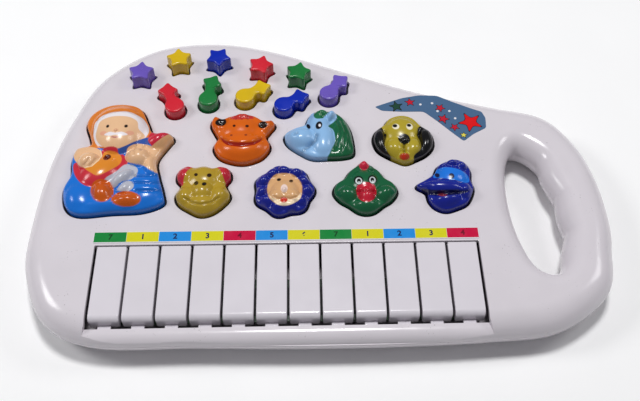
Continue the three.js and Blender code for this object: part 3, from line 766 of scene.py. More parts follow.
def stroke(width, text):
    """A painted line through the points."""
    return lambda p: line_distance(p, rows(text)) - width / 2


def mound_height(p, mounds, base):
    """Domes that meet each other and the base in soft creases."""
    power = 9
    total = np.full(len(p), float(base)) ** power
    for x, y, rx, ry, turn, lift in mounds:
        u, v = turned_frame(p, x, y, turn)
        total += (lift * np.sqrt(np.clip(1 - (u / rx)**2 - (v / ry)**2, 0, 1))) ** power
    return total ** (1 / power)


def relief_button(ring, figure, around, across):
    """A moulded figure on a flange painted near-black as shade: its relief, its grooves and the
    paint on its points, darkened as painted shade in the grooves.
    """
    size = 1 - (np.arange(across) / across) ** 1.15
    flat = (ring[None, :, :] * size[:, None, None]).reshape(-1, 2)
    flat = np.vstack([flat, [[0, 0]]])
    inside = np.clip(-signed_distance(flat, ring[::2]), 0, None)
    t = np.clip(inside / figure["shoulder"], 0, 1)
    rise = mound_height(flat, figure["mounds"], figure["base"])
    rise *= min(1, figure["limit"] / rise.max())
    rise = WALL_RISE + (rise - WALL_RISE) * (1 - (1 - t) ** 2.2) ** (1 / 2.2)
    art = flat + np.column_stack([np.zeros(len(flat)), SLANT * (rise - figure["height"])])
    depth = np.zeros(len(flat))
    for width, deep, text in figure["grooves"]:
        depth += deep * np.exp(-(line_distance(art, rows(text)) / width) ** 2)
    top = DECK + np.maximum(rise - depth * t, WALL_RISE)

    low = [np.column_stack([outset(ring, reach), np.full(around, z)]) for reach, z in
           ((FLANGE_REACH, FLANGE_BOTTOM), (FLANGE_REACH, FLANGE_TOP), (0, FLANGE_TOP),
            (0, DECK - 0.5))]
    points = np.vstack(low + [np.column_stack([flat, top])])
    middle = len(points) - 1
    rim = middle - around
    faces = [tuple(range(around))[::-1]] + quads(len(low) + across, around)
    faces += [(rim + i, rim + (i + 1) % around, middle) for i in range(around)]

    colours = np.tile(np.array(linear(figure["colour"])), (len(flat), 1))
    for code, *shapes in figure["paint"]:
        for distance in shapes:
            cover = np.clip(0.5 - distance(art) / SOFT_EDGE, 0, 1)[:, None]
            colours = colours * (1 - cover) + np.array(linear(code)) * cover
    # Painted shade: the paint darkens where the grooves run deep.
    colours *= np.clip(1 - 0.22 * depth, 0.5, 1)[:, None]
    # The flange rings are painted near-black as shade.
    flange_shade = np.tile(linear(FLANGE_SHADE_COLOUR), (3 * around, 1))
    return points, faces, np.vstack([flange_shade, colours[:around], colours])


# The lion's mane: a ring of small mounds.
MANE = [(14.2 * math.cos(a), 14.2 * math.sin(a), 4.7, 4.7, 0, 8.8)
        for a in np.radians(np.arange(11) * 360 / 11 + 90)]
FIGURES = {
    "hippo_button": {
        "at": (-50.6, 21.2), "slot": "orange_plastic", "colour": "da6208", "base": 5.5,
        "outline": rows("17,-5 14.5,2 17,7 20,12 18,15.5 13,15 7,19 -1,21 -9,19 -14,17 -19,19 "
            "-21,13 -18,6 -16,1 -18.5,-6 -15,-13 -8,-17 1,-18.5 10,-15.5 15,-10.5"),
        "mounds": rows("-2.5,8,13.5,12.5,0,8.7 -0.5,-6.5,17,12.5,0,10 -15,11,6,7,0,7.4 "
            "14.8,9.5,6.2,7,0,7.4 -1,17,8,4,0,8"),
        "grooves": [
            (2.6, 2.8, "-15.2,11.8 -14.2,11.6"), (2.3, 2.8, "12.3,9.4 12.9,9"),
            (1.5, 1.7, "-14.5,-1.5 -9,-5.8 -1,-7.3 7,-6 12.5,-2"), (0.7, 0.7, "-5,14 -5,18"),
            (0.7, 0.7, "-1,14 -1,18"), (0.7, 0.7, "3,14 3,17.5")],
        "paint": [
            ("c4332c", patch("-8.5,14.4 -6.5,18 -2,19.4 2,18.5 5.5,17.2 6.4,14.4 2,14 -3,13.2")),
            ("1c0500", dab(-14.8, 11.8, 3.7, 3.1, 20), dab(12.6, 9.2, 3, 2.9)),
            ("3a0f00", dab(-5.7, 8, 1, 1), dab(2.6, 7.7, 1.15, 1.1)),
            ("93380a", dab(-7.3, 0.3, 0.85, 0.8), dab(2.1, 0.3, 0.9, 0.8)),
            ("b42410", patch("-14.2,-1.2 -9,-4.2 -1,-5.4 7,-4.6 12.2,-1.6 9.4,-6.2 3,-8.7 "
                 "-4,-8.9 -10.5,-6.8"))],
    },
    "horse_button": {
        "at": (0.4, 25.7), "slot": "sky_plastic", "colour": "8fbbe6", "base": 5,
        "outline": rows("20,-11 18.5,2 15,11 9,17 1,18.5 -6,17 -9,12 -11,7 -18,4 -24,-1 -22,-8 "
            "-14,-15 -6,-19.5 4,-19.5 13,-19 19,-17"),
        "mounds": rows("-14,-5,11,8.5,12,9.8 0.5,-6,9,14.5,0,9.4 -2,6,8.5,12,0,8.8 "
            "13.5,-4,7.5,17,8,8.2 0,14,5.5,5,0,9.3 6,12.5,3,6,-28,9.6"),
        "grooves": [
            (1.3, 1.8, "-3.6,-4.5 -4.3,-8.5 -8,-12.5 -12.5,-17.5"),
            (1.3, 1.3, "-18,-3.5 -16.6,-2.8"), (0.9, 0.9, "9.5,9 12,0 10,-8 8,-17"),
            (0.9, 0.9, "12.5,8 15,-2 13.5,-10 12,-20"), (0.9, 0.9, "15,3 17,-6 16.3,-18"),
            (0.7, 0.6, "-2.5,17 0,13 0.5,10")],
        "paint": [
            ("13603a", patch("8.5,17.2 12,18 20,10 26,-8 25,-26 4,-26 5,-18 8,-10.5 8,-4 6.8,0.4 "
                 "4.1,2.8 8,6.6 10,11")),
            ("1d6c44", patch("-5.2,11.4 -4.4,15.6 -1.4,18.6 3,20.4 6.2,19.4 4.7,15 2.6,11.8 "
                 "0,9.2 -3.6,9")),
            ("06060f", dab(-2, 3.3, 2.1, 3.3, -14)),
            ("eeeef6", dab(-1.5, 3.2, 0.8, 1.2)),
            ("06060f", dab(-8.8, 2.8, 1.2, 2.2, 20))],
    },
    "dog_button": {
        "at": (53.4, 20.2), "slot": "olive_plastic", "colour": "b09d2b", "base": 5,
        "outline": rows("19,-1 17.5,6 12,11 7,17.5 0,20 -8,17.5 -12,12 -17.5,7 -19.5,0 -17,-8 "
            "-11,-13 -6,-16 0,-18.5 7,-15.5 13,-12 17.5,-7"),
        "mounds": rows("-1,6,12.5,13,0,9 -6.5,-8,7.5,9,0,9.7 5,-8,7.5,9,0,9.7 "
            "-0.3,-5.2,4.2,4.4,0,11 -1,-15.5,5,4,0,8.6 -15.5,-2,6,12,6,7.8 14.5,-2,6,12,-6,7.8"),
        "grooves": [
            (0.8, 1.1, "-0.7,-7 -0.8,-14"), (1.1, 1.3, "-12.6,4 -11.8,0 -13,-6 -12,-12 -9,-17"),
            (1.1, 1.3, "10.8,5 9.2,1 10.3,-5 10,-11 6.5,-16.5")],
        "paint": [
            ("09090b", patch("-30,4 -16,8 -12.4,3.2 -11.2,1 -13,-6 -11.8,-12 -9,-19 -12,-27 "
                 "-30,-25"), patch("12,8 9,2.2 8.8,0.8 10.3,-5 9.8,-11 5,-18 12,-27 30,-25 "
                 "30,7")),
            ("f2ead0", dab(-5.1, 7.3, 2.2, 2.3)),
            ("0a0a0a", dab(-5.6, 7.9, 1.5, 1.4)),
            ("f2ead0", dab(3.9, 7.2, 2.2, 2.7)),
            ("0a0a0a", dab(3.6, 8.2, 1.5, 1.3)),
            ("060608", dab(-0.3, -3, 3.9, 4.3)),
            ("b5441c", dab(-0.9, -17.2, 3.2, 2.8)),
            ("c4301a", dab(-1.4, -17.6, 1.4, 1.8))],
    },
    "pig_button": {
        "at": (-74.1, -17.8), "slot": "olive_plastic", "colour": "b0922a", "base": 5.5,
        "outline": rows("16.5,-5 13.5,3 16.5,9 15,15 10,17 5,16 0,17.5 -6,16.5 -11,17.5 -16,14 "
            "-16.5,8 -13.5,3 -16.5,-4 -14.5,-10 -8,-15 -1,-18.5 6,-17 12.5,-11.5"),
        "mounds": rows("-0.5,8,11.5,11,0,8.7 -0.5,-3,8.4,8.4,0,10.8 -10.5,-6,7,8,0,9 "
            "10.5,-6,7,8,0,9 0,-12,11,7.5,0,8.9 -11.8,10,5.4,7,12,8 12,10,5.4,7,-12,8"),
        "grooves": [
            (1, 1.2, "-10.5,-9 -5,-12.8 0,-13.8 6,-12.4 10.5,-9")],
        "paint": [
            ("c12738", patch("-18,1.5 -18,12 -14,19 -8,18.4 -6.3,15.2 -9.3,12.5 -11.3,8 -12.2,4 "
                 "-12.8,0"), patch("6,15 9,18.5 14,18.5 20,11 19,2 14.8,-0.6 13.2,3 11.5,9 "
                 "9.3,12.6")),
            ("2a1400", dab(-4.4, 8.2, 1.2, 1.2), dab(3.8, 7.6, 1.45, 1.45)),
            ("120800", dab(-3.8, 1.7, 1.5, 1.5), dab(1.3, 1, 1.35, 1.35))],
    },
    "lion_button": {
        "at": (-24.1, -18.8), "slot": "navy_plastic", "colour": "131f8a", "base": 5,
        "lobes": (18, 7, 0.9),
        "mounds": [*rows("0.5,-3.5,10.8,11.5,0,9.3 -4.8,-6.5,6,6,0,10 5.4,-6.5,6,6,0,10 "
            "0.2,-4,2.3,3.2,0,11.2 0,-12,5.5,4.2,0,9"), *MANE],
        "grooves": [
            (0.7, 0.6, "-6,-7.8 -3,-9.6 0,-8.6 4,-9.6 7.5,-8.2")],
        "paint": [
            ("d8a876", patch("-5,9 2,9.7 6.7,7.6 10.6,2 11.2,-4 10,-9.7 5,-13.7 0,-14.9 -5,-13.2 "
                 "-9.2,-8.5 -10.4,-2 -9,4")),
            ("f2dcbc", patch("-9.7,-6 -7,-9 -3,-9.9 0,-8.9 4,-9.9 8,-8.9 10.6,-5 9.7,-9.9 "
                 "5,-13.6 0,-14.8 -5,-13.1")),
            ("1a0a04", dab(-3.2, 4.8, 1.35, 1.1, 15), dab(4.4, 3.6, 1.25, 1.1)),
            ("ecd4cc", dab(0.2, -2, 2.1, 3.1)),
            ("c62f1c", dab(0, -10.4, 2.3, 2.1))],
    },
    "rooster_button": {
        "at": (26.4, -19.8), "slot": "forest_plastic", "colour": "125c38", "base": 5,
        "outline": rows("19.5,-1 17.5,5 12.5,9 9,14.5 4.5,18.5 0,22.5 -4.5,18.5 -9,14.5 -12.5,9 "
            "-17.5,5 -19.5,-1 -16,-7 -10.5,-11 -5,-15.5 0,-16.8 5,-15.5 10.5,-11 16,-7"),
        "mounds": rows("-0.5,5,10.5,11,0,8.9 -11.5,-3.5,7.5,7,0,9.3 12.2,-3.5,7.6,7,0,9.3 "
            "0,-12,9,6,0,8.2 0.4,-6,6,7.2,0,10.9 -0.2,18,3.8,4.6,0,8.8 4.2,15.5,2.8,3.6,0,7.4"),
        "grooves": [
            (0.8, 1.2, "-5,-3.7 0,-3.1 5.2,-3.7")],
        "paint": [
            ("c31c34", patch("-4.6,1.4 0,3.1 5,1.4 6.4,-3 5.8,-8 3,-11 0,-11.8 -3,-11 -5.2,-8 "
                 "-5.9,-3")),
            ("cb2440", dab(-0.2, 17, 3.2, 4.6)),
            ("04180f", dab(-4.3, 4.5, 2.9, 3.4), dab(4.4, 5, 2.9, 3.4)),
            ("dce4e4", dab(-4.2, 4, 2, 2.5), dab(4.4, 4.6, 2, 2.5)),
            ("050505", dab(-4.1, 4.2, 1.25, 1.7), dab(4.3, 4.8, 1.25, 1.7)),
            ("cfdcdc", dab(-4.1, 3.1, 0.5, 0.6), dab(4.5, 3.7, 0.5, 0.6))],
    },
    "duck_button": {
        "at": (77.4, -16.8), "slot": "navy_plastic", "colour": "11208e", "base": 5,
        "outline": rows("16.5,-3 15.5,4 16,12 13,17.5 7,20 1,18 -4,14.5 -7,8.5 -13,4 -18.5,0 "
            "-13,-4.5 -11.5,-11 -8,-16 -2,-18.5 5,-16.5 12,-12.5"),
        "mounds": rows("3.5,5,11.5,10.5,0,9.1 4.5,15.2,4.5,4,0,8.8 10.5,13.2,4.5,4.5,0,8.6 "
            "-1.2,13,4,3.6,0,8.4 -3,-3.5,16.5,6,-3,10.2 -1,-12,10.5,6.2,10,9 "
            "10.5,-5.5,5.6,6.5,0,9.2"),
        "grooves": [
            (1, 1.5, "-16,-7.4 -8,-8.8 0,-8.4 8,-7.4 13,-7.2")],
        "paint": [
            ("1b76df", patch("-4.6,9.4 -1,10.9 4,10.4 9,8.6 13.6,4.6 14.2,-0.2 11,-1.2 6,0.6 0,2 "
                 "-5,2.6 -8,3.2 -6.4,7")),
            ("05053a", dab(2.7, 4, 1.7, 2.1)),
            ("0a1244", dab(-5.6, 4.7, 1.3, 1.7)),
            ("9cc8f4", stroke(0.5, "1.2,1.6 4.2,1.3")),
            ("080d4a", patch("-16,-5.6 -8,-6.6 0,-6.4 8,-6.6 12.6,-7 9,-9.4 0,-10.6 -8,-10.8 "
                 "-13,-9.6")),
            ("7c2434", dab(-4.2, -9.8, 2.7, 1.6))],
    },
    "musician_button": {
        "at": (-130.6, 5.2), "slot": "figure_paint", "colour": "1470d2", "base": 6, "height": 10,
        "outline": rows("32,-26 28,-12 26,0 32,12 35,17.5 31,21.6 21.5,22.2 17.8,30 12,42 2,46 "
            "-9,45 -18,39 -21.5,30 -18,19 -17,12 -25,9 -27,0 -26,-11 -29,-22 -26,-35 -17,-40.5 "
            "2,-39 20,-38 32,-33"),
        "mounds": rows("-0.5,24,19.5,21,0,12.6 0.4,16,14,14.5,0,13.5 0.2,16.4,1.9,1.8,0,14 "
            "19,-24,15,15,0,9.4 -19,-28,11,12,0,8.6 0,-34,24,7,0,8 -15.6,-3,8,8,0,12.4 "
            "-8.5,-10.5,15.5,11.5,42,10.8 6.5,-16.5,10.5,5,48,11.6 9,-24,7,4.6,40,10 "
            "-4.4,-27,7,9,22,11.6 11,-33,8.8,6,-4,10.6 14.8,0,8.8,8,0,12.4 23,-6,6,10,10,9.4 "
            "27,14,11,6.5,26,11"),
        "grooves": [
            (0.9, 0.9, "-15.8,16 -14,28 -8,33.6 0,35.4 6,35 11,32.2 15.8,27.6 19.3,18"),
            (0.8, 0.8, "-17.5,-8.4 -15.4,-6 -14.4,-3.4"),
            (0.8, 0.8, "-13.8,-9 -11.8,-6.6 -10.6,-3.6"), (0.8, 0.7, "12.5,7 12.2,3 13,0"),
            (0.8, 0.7, "17.5,6.6 17,3"), (1.1, 1.3, "14.5,-16.6 22,-16.8 29,-17"),
            (1.1, 1.3, "14.5,-22 22,-22.3 30.5,-22.5"), (1.1, 1.3, "17,-28 24,-28.2 31.5,-28.5"),
            (1, 1.2, "-4.4,-2.5 -4.3,-2.4")],
        "paint": [
            ("dd7d2b", patch("-26,6 -28,30 -16,48 3,54 20,50 30,30 27,15 19,12.6 12,7 0,4 "
                 "-11,5")),
            ("ebe5ea", patch("-15.6,23 -13.6,29 -8,33.6 0,35.3 6,34.9 11,32.1 15.6,27.6 19.2,19 "
                 "17,12 10,8 -9,6 -14.6,12")),
            ("e9bd93", patch("-12.8,20 -11.3,26.4 -6,29.6 0,30.6 7,29.8 12,26.2 13.4,20 "
                 "17.4,13.6 12,8 4,4.8 -5,4.6 -11,8.6 -13.4,14")),
            ("e7a98b", dab(-8, 16.4, 2.4, 1.8), dab(8.6, 16.4, 2.4, 1.8)),
            ("e3ae86", dab(0.2, 18.6, 1.6, 1.4)),
            ("150d08", dab(-5.6, 22, 1.05, 1.25), dab(6, 22, 1.05, 1.25)),
            ("efe8ec", patch("-7.2,15.2 -3.5,17.3 0.2,16.5 4,17.3 7.6,15.2 4,14.2 0.2,14.9 "
                 "-3.5,14.2")),
            ("b0566a", stroke(0.8, "-1.8,13.3 0.2,12.9 2.2,13.3")),
            ("c92c3b", patch("-24.6,-7 -24,-14 -19,-21.4 -12,-25.2 -5,-23.4 1,-17.4 8.4,-8 8,-4 "
                 "3,2 0,5.6 -6,5.2 -9,2 -10,-2 -16,-6")),
            ("e08a2a", patch("-17.5,-10.4 -12,-14.6 -8,-16.6 -3,-14.2 3,-9 4.6,-4 2,0.6 -3,2.6 "
                 "-7,1.6 -8,-3 -10,-7.4 -14,-9.8")),
            ("5a0a06", dab(-4.4, -2.5, 2.2, 2.4)),
            ("e6b98f", patch("-26,4 -17,6 -10,3.6 -8.4,-1 -9,-5 -12,-9 -17,-10.6 -22,-7.6 "
                 "-26,-2")),
            ("f4dfb8", stroke(0.6, "-17,-10.5 -12,-9.4 -8.8,-5.2 -8.2,-1 -9.6,3.2")),
            ("3154a2", patch("2,1 3.5,-0.5 7,0.5 9.5,4 14,7.5 23,8 24,11 20,13.4 13,10.7 7,6.7 "
                 "2.5,4")),
            ("c8263e", patch("19.6,13 21.5,8 25,5.5 33,14 36,19 30,24 23,21.5 20.6,17")),
            ("d9a878", patch("22.8,6.2 20,3 29,-2 41,6 38.5,13 33.6,16")),
            ("77746c", patch("32.8,17 36,19 41,15 40,11.6 35,13.4")),
            ("e6b98f", patch("7,1 8,5 12,8 17,7.8 22,6.2 25,3 30,0 30,-8 28,-15 24,-13 19,-9.5 "
                 "14,-8 9,-6.5 6.5,-3")),
            ("b9bbc6", patch("-3.6,-19.4 2,-14 7,-8.4 13,-9.4 15.6,-13.4 13,-19.4 7,-21.6 3,-26 "
                 "-1,-24.6"), patch("4.8,-27.6 8.6,-21.6 13.6,-21.8 14.8,-26 11,-29")),
            ("c6560e", dab(-4.5, -28, 6.8, 8.8, 22), dab(11, -34.5, 8.8, 5.8, -4))],
    },
}


def lobed_ring(radius, lobes, swell, count):
    angle = np.arange(count) * 2 * np.pi / count
    return polar(angle, radius + swell * np.cos(lobes * angle))


for name, figure in FIGURES.items():
    large = name == "musician_button"
    around, across = (384, 110) if large else (240, 72)
    if "lobes" in figure:
        outline = lobed_ring(*figure["lobes"], around)
    else:
        outline = smooth(figure["outline"], around // len(figure["outline"]))
    figure.setdefault("height", 7)
    figure["shoulder"] = 6.5 if large else 5.5
    figure["limit"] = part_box(name)[1].z / MM - DECK
    sparse = outline[::max(1, len(outline) // 120)]
    hole_rings.append(outset(sparse, CLEARANCE) + figure["at"])
    points, faces, colours = relief_button(outline, figure, len(outline), across)
    points[:, :2] += figure["at"]
    obj = mesh_object(points, faces)
    layer = obj.data.color_attributes.new("paint", "FLOAT_COLOR", "POINT")
    layer.data.foreach_set("color", np.column_stack([colours, np.ones(len(colours))]).ravel())
    obj.data.shade_smooth()
    obj.data.set_sharp_from_angle(angle=math.radians(80))
    piece(obj, f"{name}_moulding", name, name, PAINTED)

for made, name, node in ((top_shell(hole_rings), "top_casing", "top_shell"),
                         (bottom_shell(), "bottom_casing", "bottom_shell")):
    piece(shade(made), name, "casing", node, CASING_PLASTIC)


# ---- label strip and sticker ----
def printed(name, colour, rough=0.16):
    """Ink on glossy film, with a fine screen grain."""
    n = Nodes(name)
    base = linear(colour)
    return n.finish(n.mixed(n.ranged(n.noise(0.6, 3), 0, 0.35), base, dulled(base, 0.72)),
                    n.ranged(n.noise(6, 3), rough * 0.7, rough * 1.6),
                    n.bump(n.noise(9, 2), 0.12, 0.35), Coat_Weight=0.2, Coat_Roughness=0.08)


def merged(objects):
    """Joins finished meshes into the first one, keeping each one's material."""
    first = objects[0]
    with bpy.context.temp_override(active_object=first, selected_editable_objects=objects,
                                   object=first, selected_objects=objects):
        bpy.ops.object.join()
    return first


def digit(text, x, y, z, material):
    """A printed digit as a thin raised mesh, centred on the given place."""
    curve = bpy.data.curves.new("digit", "FONT")
    curve.body = text
    curve.size, curve.extrude, curve.offset = DIGIT_SIZE * MM, 0.02 * MM, 0.17 * MM
    curve.align_x = curve.align_y = "CENTER"
    shape = from_curve(curve)
    shape.data.transform(Matrix.Translation(Vector((x, y, z)) * MM))
    return inked(shape, material)


INKS = {name: printed(f"{name}_ink", code) for name, code in (
    ("white", "e8e6ea"), ("green", "14863a"), ("yellow", "dcd61e"), ("blue", "2390e2"),
    ("red", "cc0a40"), ("navy", "1b1e50"), ("maroon", "780022"), ("bottle", "04481c"),
    ("slate", "4a6a8e"), ("black", "120a10"), ("scarlet", "e00c14"), ("crimson", "c41c34"),
    ("moss", "1c4636"), ("lemon", "e8dc5a"))}
CELLS = [("green", "7"), ("yellow", "1"), ("blue", "2"), ("yellow", "3"), ("red", "4"),
         ("blue", "5"), ("yellow", "6"), ("green", "7"), ("yellow", "1"), ("blue", "2"),
         ("yellow", "3"), ("red", "4")]
DIGIT_SIZE = 5.0
DIGIT_INK = {"green": "bottle", "red": "maroon", "yellow": "navy", "blue": "navy"}


def label_strip():
    low, high = box_mm("key_label_strip")
    film = loft(edge_levels(box_ring(low.x, high.x, low.y, high.y, 0.8), low.z, high.z - 0.06,
                            0.1, 3))
    pieces = [inked(film, INKS["white"])]
    pitch = (high.x - low.x - 0.8) / len(CELLS)
    for i, (colour, text) in enumerate(CELLS):
        x0 = low.x + 0.4 + i * pitch
        cell = block(x0, x0 + pitch - 0.15, low.y + 0.55, high.y - 0.3, high.z - 0.08,
                     high.z - 0.03)
        pieces.append(inked(cell, INKS[colour]))
        pieces.append(digit(text, x0 + pitch / 2, (low.y + high.y) / 2 + 0.1, high.z - 0.02,
                            INKS[DIGIT_INK[colour]]))
    return merged(pieces)


STICKER = rows("36.5,50.5 41,47 55,46 69,46 78,37 86,28 93.2,20.4 100.5,26.5 109.3,31.5 110,40 "
    "108,45.5 100,49 90,54 79,60 67,60.5 55,58 45,54")
# Printed stars: x, y, reach, turn, ink and the width of the dark line around each.
STICKER_STARS = [
    (99.4, 36.4, 7.6, 42, "scarlet", 0.75), (60.4, 54.2, 3, 95, "crimson", 0.6),
    (80.4, 49, 3, 60, "crimson", 0.6), (81.6, 39.4, 3.5, 68, "crimson", 0.7),
    (88.4, 32.2, 2.8, 50, "crimson", 0.6), (50.9, 50.6, 3.9, 100, "moss", 0.8),
    (93.6, 25.4, 2, 80, "lemon", 0.6),
]
STICKER_DOTS = [(67.4, 52.2), (75.4, 53.2), (78.4, 46.2), (86.4, 46.2), (89.6, 39.8)]


def straight(points, per_side):
    """A closed ring with straight sides between its corners."""
    corners = np.array(points, float)
    after = np.roll(corners, -1, 0)
    share = (np.arange(per_side) / per_side)[None, :, None]
    return (corners[:, None] + share * (after - corners)[:, None]).reshape(-1, 2)


def sticker():
    low, high = box_mm("star_sticker")
    ring = softened(straight(STICKER, 12), 3)
    top = high.z - 0.12
    pieces = [inked(loft(edge_levels(ring, low.z, top, 0.06, 3)), INKS["slate"])]
    for x, y, reach, turn, ink, line in STICKER_STARS:
        for grow, lift, colour in ((line, 0.04, "black"), (0, 0.08, ink)):
            shape = star_ring(reach + grow * 1.3, turn, 8, 0.5) + (x, y)
            pieces.append(inked(loft([(shape, top - 0.02), (shape, top + lift)]), INKS[colour]))
    for x, y in STICKER_DOTS:
        pieces.append(inked(bar(x, y, top - 0.02, top + 0.05, 0.85, count=20), INKS["white"]))
    return merged(pieces)


piece(label_strip(), "key_label_print", "casing", "key_label_strip")
piece(sticker(), "star_sticker_print", "casing", "star_sticker")


# ---- fastenings, battery compartment, switch and feet ----
STEEL = metal("plated_steel", "b9bcc2")
BLACK = plastic("black_plastic", "232326", 0.42, 0.08, 0.03)
MAT_SILICONE = rubber("mat_silicone", "26262a")
FOOT_RUBBER = rubber("foot_rubber", "3c3d40", 0.8)
BOARD = laminate("board_laminate", "1c3a26", "2f5436")
CONE = rubber("cone_paper", "1b1b1d", 0.9)
SLEEVE = plastic("cell_sleeve", "23262b", 0.3, 0.05, 0.02)
SLEEVE_BAND = plastic("cell_band", "c98a2c", 0.28, 0.05, 0.02)
KNOB = plastic("knob_plastic", "c0202c", 0.35, 0.05, 0.03)


def screw_piece(name):
    """A pan-head screw with a cross recess and a ridged shank, its head at the bottom."""
    low, high = box_mm(name)
    x, y = (low.x + high.x) / 2, (low.y + high.y) / 2
    head = (high.x - low.x) / 2
    shank = head * 0.46
    profile = [(head * 0.55, low.z), (head * 0.8, low.z + 0.12), (head * 0.96, low.z + 0.6),
               (head, low.z + 1.1), (head, low.z + 1.6), (shank, low.z + 1.62)]
    z = low.z + 1.9
    while z < high.z - 1.6:
        profile += [(shank, z), (shank * 0.78, z + 0.35)]
        z += 0.7
    profile += [(shank * 0.7, high.z - 1), (shank * 0.25, high.z)]
    body = turned(x, y, profile, count=28)
    reach, half = head * 0.6, 0.32
    return cut(body, [block(x - reach, x + reach, y - half, y + half, low.z - 1, low.z + 0.8),
                      block(x - half, x + half, y - reach, y + reach, low.z - 1, low.z + 0.8)])


def cell_piece(name):
    """A dry cell: a rolled can with a coloured band and a raised cap."""
    low, high = box_mm(name)
    y, z = (low.y + high.y) / 2, (low.z + high.z) / 2
    radius = (high.z - low.z) / 2
    end = high.x - 1.5
    profile = [(radius * 0.9, low.x), (radius, low.x + 0.5), (radius, end - 0.6),
               (radius * 0.95, end - 0.2), (radius * 0.86, end), (2.9, end - 0.1),
               (2.7, high.x - 0.2), (2.5, high.x)]
    can = loft([(disc_ring(y, z, r), x) for r, x in profile], axes=(1, 2, 0))
    inked(can, SLEEVE, STEEL)
    for face in can.data.polygons:
        middle = face.center.x / MM
        face.material_index = int(middle > end - 0.25 or middle < low.x + 0.1)
    around = disc_ring(y, z, radius + 0.04)
    band = loft([(around, end - 14), (around, end - 1.2)], axes=(1, 2, 0))
    return merged([shade(can), inked(shade(band), SLEEVE_BAND)])


def coil(x0, x1, y, z):
    """A cone-shaped spring of three turns that narrows along x."""
    curve = bpy.data.curves.new("coil", "CURVE")
    curve.dimensions = "3D"
    curve.bevel_depth, curve.bevel_resolution, curve.use_fill_caps = 0.28 * MM, 3, True
    line = curve.splines.new("POLY")
    turns = np.linspace(0, 1, 90)
    line.points.add(len(turns) - 1)
    for point, t in zip(line.points, turns):
        angle, radius = 2 * np.pi * 3 * t, 3 - 1.2 * t
        place = Vector((x0 + t * (x1 - x0), y + radius * math.cos(angle),
                        z + radius * math.sin(angle)))
        point.co = (*(place * MM), 1)
    shape = from_curve(curve)
    shape.data.shade_smooth()
    return shape


def coil_springs():
    """The flat contact with one spring for each cell."""
    low, high = box_mm("battery_spring_contact")
    plate = box_ring(low.y, high.y, low.z, high.z, 0.8)
    parts = [shade(loft([(plate, low.x), (plate, low.x + 0.4)], axes=(1, 2, 0)))]
    for i in range(CELL_COUNT):
        near, far = box_mm(f"battery_cell_{i + 1}")
        parts.append(coil(low.x + 0.5, high.x - 0.3, (near.y + far.y) / 2, (near.z + far.z) / 2))
    return inked(merged(parts), STEEL)


def battery_door():
    """The door: a rounded plate with two tabs, finger ridges and a screw boss."""
    low, high = box_mm("battery_door")
    middle, left = (low.y + high.y) / 2, low.x + 3.1
    door = loft(edge_levels(box_ring(left, high.x, low.y, high.y, 1.4), low.z, 3, 0.35, 4))
    join(door, [bar(DOOR_SCREW_X, middle, 2.5, 5.2, 4)] + [
        block(low.x, left + 3, y - 3, y + 3, 2.5, 3.5, 0.4)
        for y in (middle - DOOR_TAB_OFFSET, middle + DOOR_TAB_OFFSET)])
    cutters = [bar(DOOR_SCREW_X, middle, low.z - 1, 3.5, 3.1, 2.6),
               bar(DOOR_SCREW_X, middle, 3, 6, 1.5)]
    for k in range(5):
        cutters.append(block(60 + k * 1.8, 60.8 + k * 1.8, middle - 9, middle + 9, low.z - 1,
                             low.z + 0.4, 0.3))
    return cut(door, cutters)


def foot_piece(name):
    """A rubber foot with a rounded edge and a shallow ring in its sole."""
    low, high = box_mm(name)
    x, y = (low.x + high.x) / 2, (low.y + high.y) / 2
    radius = (high.x - low.x) / 2
    foot = turned(x, y, [(radius - 0.5, 0), (radius - 0.15, 0.12), (radius, 0.45),
                         (radius, high.z)])
    groove = cut(bar(x, y, -1, 0.35, radius - 2), [bar(x, y, -2, 1, radius - 3.2)])
    return cut(foot, [groove])


def switch_knob():
    """A flat slider with grip grooves and a peg that reaches the switch."""
    low, high = box_mm("switch_knob")
    x, y = (low.x + high.x) / 2, (low.y + high.y) / 2
    knob = loft(edge_levels(box_ring(low.x, high.x, low.y, high.y, 0.5), low.z, 5, 0.3, 4))
    join(knob, [block(x - 1.3, x + 1.3, y - 1.3, y + 1.3, 4.9, high.z, 0.2)])
    return cut(knob, [block(x + dx - 0.3, x + dx + 0.3, low.y - 1, high.y + 1, low.z - 1,
                            low.z + 0.5) for dx in (-1.4, -0.5, 0.5, 1.4)])


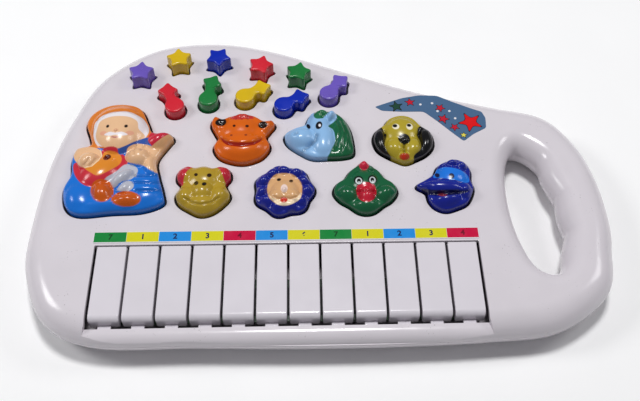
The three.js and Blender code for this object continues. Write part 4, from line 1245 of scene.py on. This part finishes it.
for i in range(len(SCREWS)):
    name = f"case_screw_{i + 1}"
    piece(shade(screw_piece(name)), f"{name}_turned", "casing", name, STEEL)
piece(shade(screw_piece("battery_door_screw")), "door_screw_turned", "battery_door",
      "battery_door_screw", STEEL)
for i in range(CELL_COUNT):
    name = f"battery_cell_{i + 1}"
    piece(cell_piece(name), f"{name}_can", "casing", name)
piece(coil_springs(), "spring_contact_wound", "casing", "battery_spring_contact")
piece(shade(battery_door()), "battery_door_cover", "battery_door",
      "battery_door", CASING_PLASTIC)
piece(shade(switch_knob()), "switch_knob_cap", "switch_knob", "switch_knob", KNOB)
for i in range(FOOT_COUNT):
    name = f"rubber_foot_{i + 1}"
    piece(shade(foot_piece(name)), f"{name}_pad", "casing", name, FOOT_RUBBER)
for node, material in (
        ("circuit_board", BOARD), ("key_contact_board", BOARD), ("keypad_mat", MAT_SILICONE),
        ("key_contact_mat", MAT_SILICONE), ("control_chip", BLACK), ("switch_body", BLACK),
        ("speaker_frame", BLACK), ("speaker_cone", CONE), ("key_pivot_rod", STEEL),
        ("battery_plate_contact", STEEL)):
    inked(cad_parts[node], material)


# ---- floor and light ----
def add_light(name, place, size, power):
    """A round lamp that faces the middle of the toy."""
    data = bpy.data.lights.new(name, "AREA")
    data.shape, data.size, data.energy = "DISK", size, power
    light = scene_object(name, data)
    light.location = place
    facing = Vector((0, 0, 0.02)) - Vector(place)
    light.rotation_euler = facing.to_track_quat("-Z", "Y").to_euler()


def paper(name, colour):
    """Smooth matt paper with the faintest unevenness."""
    n = Nodes(name)
    base = linear(colour)
    return n.finish(n.mixed(n.ranged(n.noise(60, 1), 0, 1), base, dulled(base, 0.985)),
                    Roughness=1.0, Specular_IOR_Level=0.1)


def add_studio():
    ring = disc_ring(0, 0, 3000, 96)
    floor = mesh_object(np.column_stack([ring, np.full(len(ring), -0.2)]),
                        [tuple(range(len(ring)))])
    inked(floor, paper("floor_paper", "fdfdfd"))
    world = bpy.data.worlds.new("studio")
    world.use_nodes = True
    sky = world.node_tree.nodes["Background"].inputs
    sky["Color"].default_value = (0.93, 0.94, 1, 1)
    sky["Strength"].default_value = 0.17
    bpy.context.scene.world = world
    add_light("overhead", (0.02, 0.22, 1.5), 0.3, 12.8)
    add_light("left_window", (-0.85, 0.1, 0.8), 0.35, 3.35)
    add_light("right_window", (0.85, 0.25, 0.8), 0.35, 2.0)
    bpy.context.scene.view_settings.view_transform = "Standard"


add_studio()
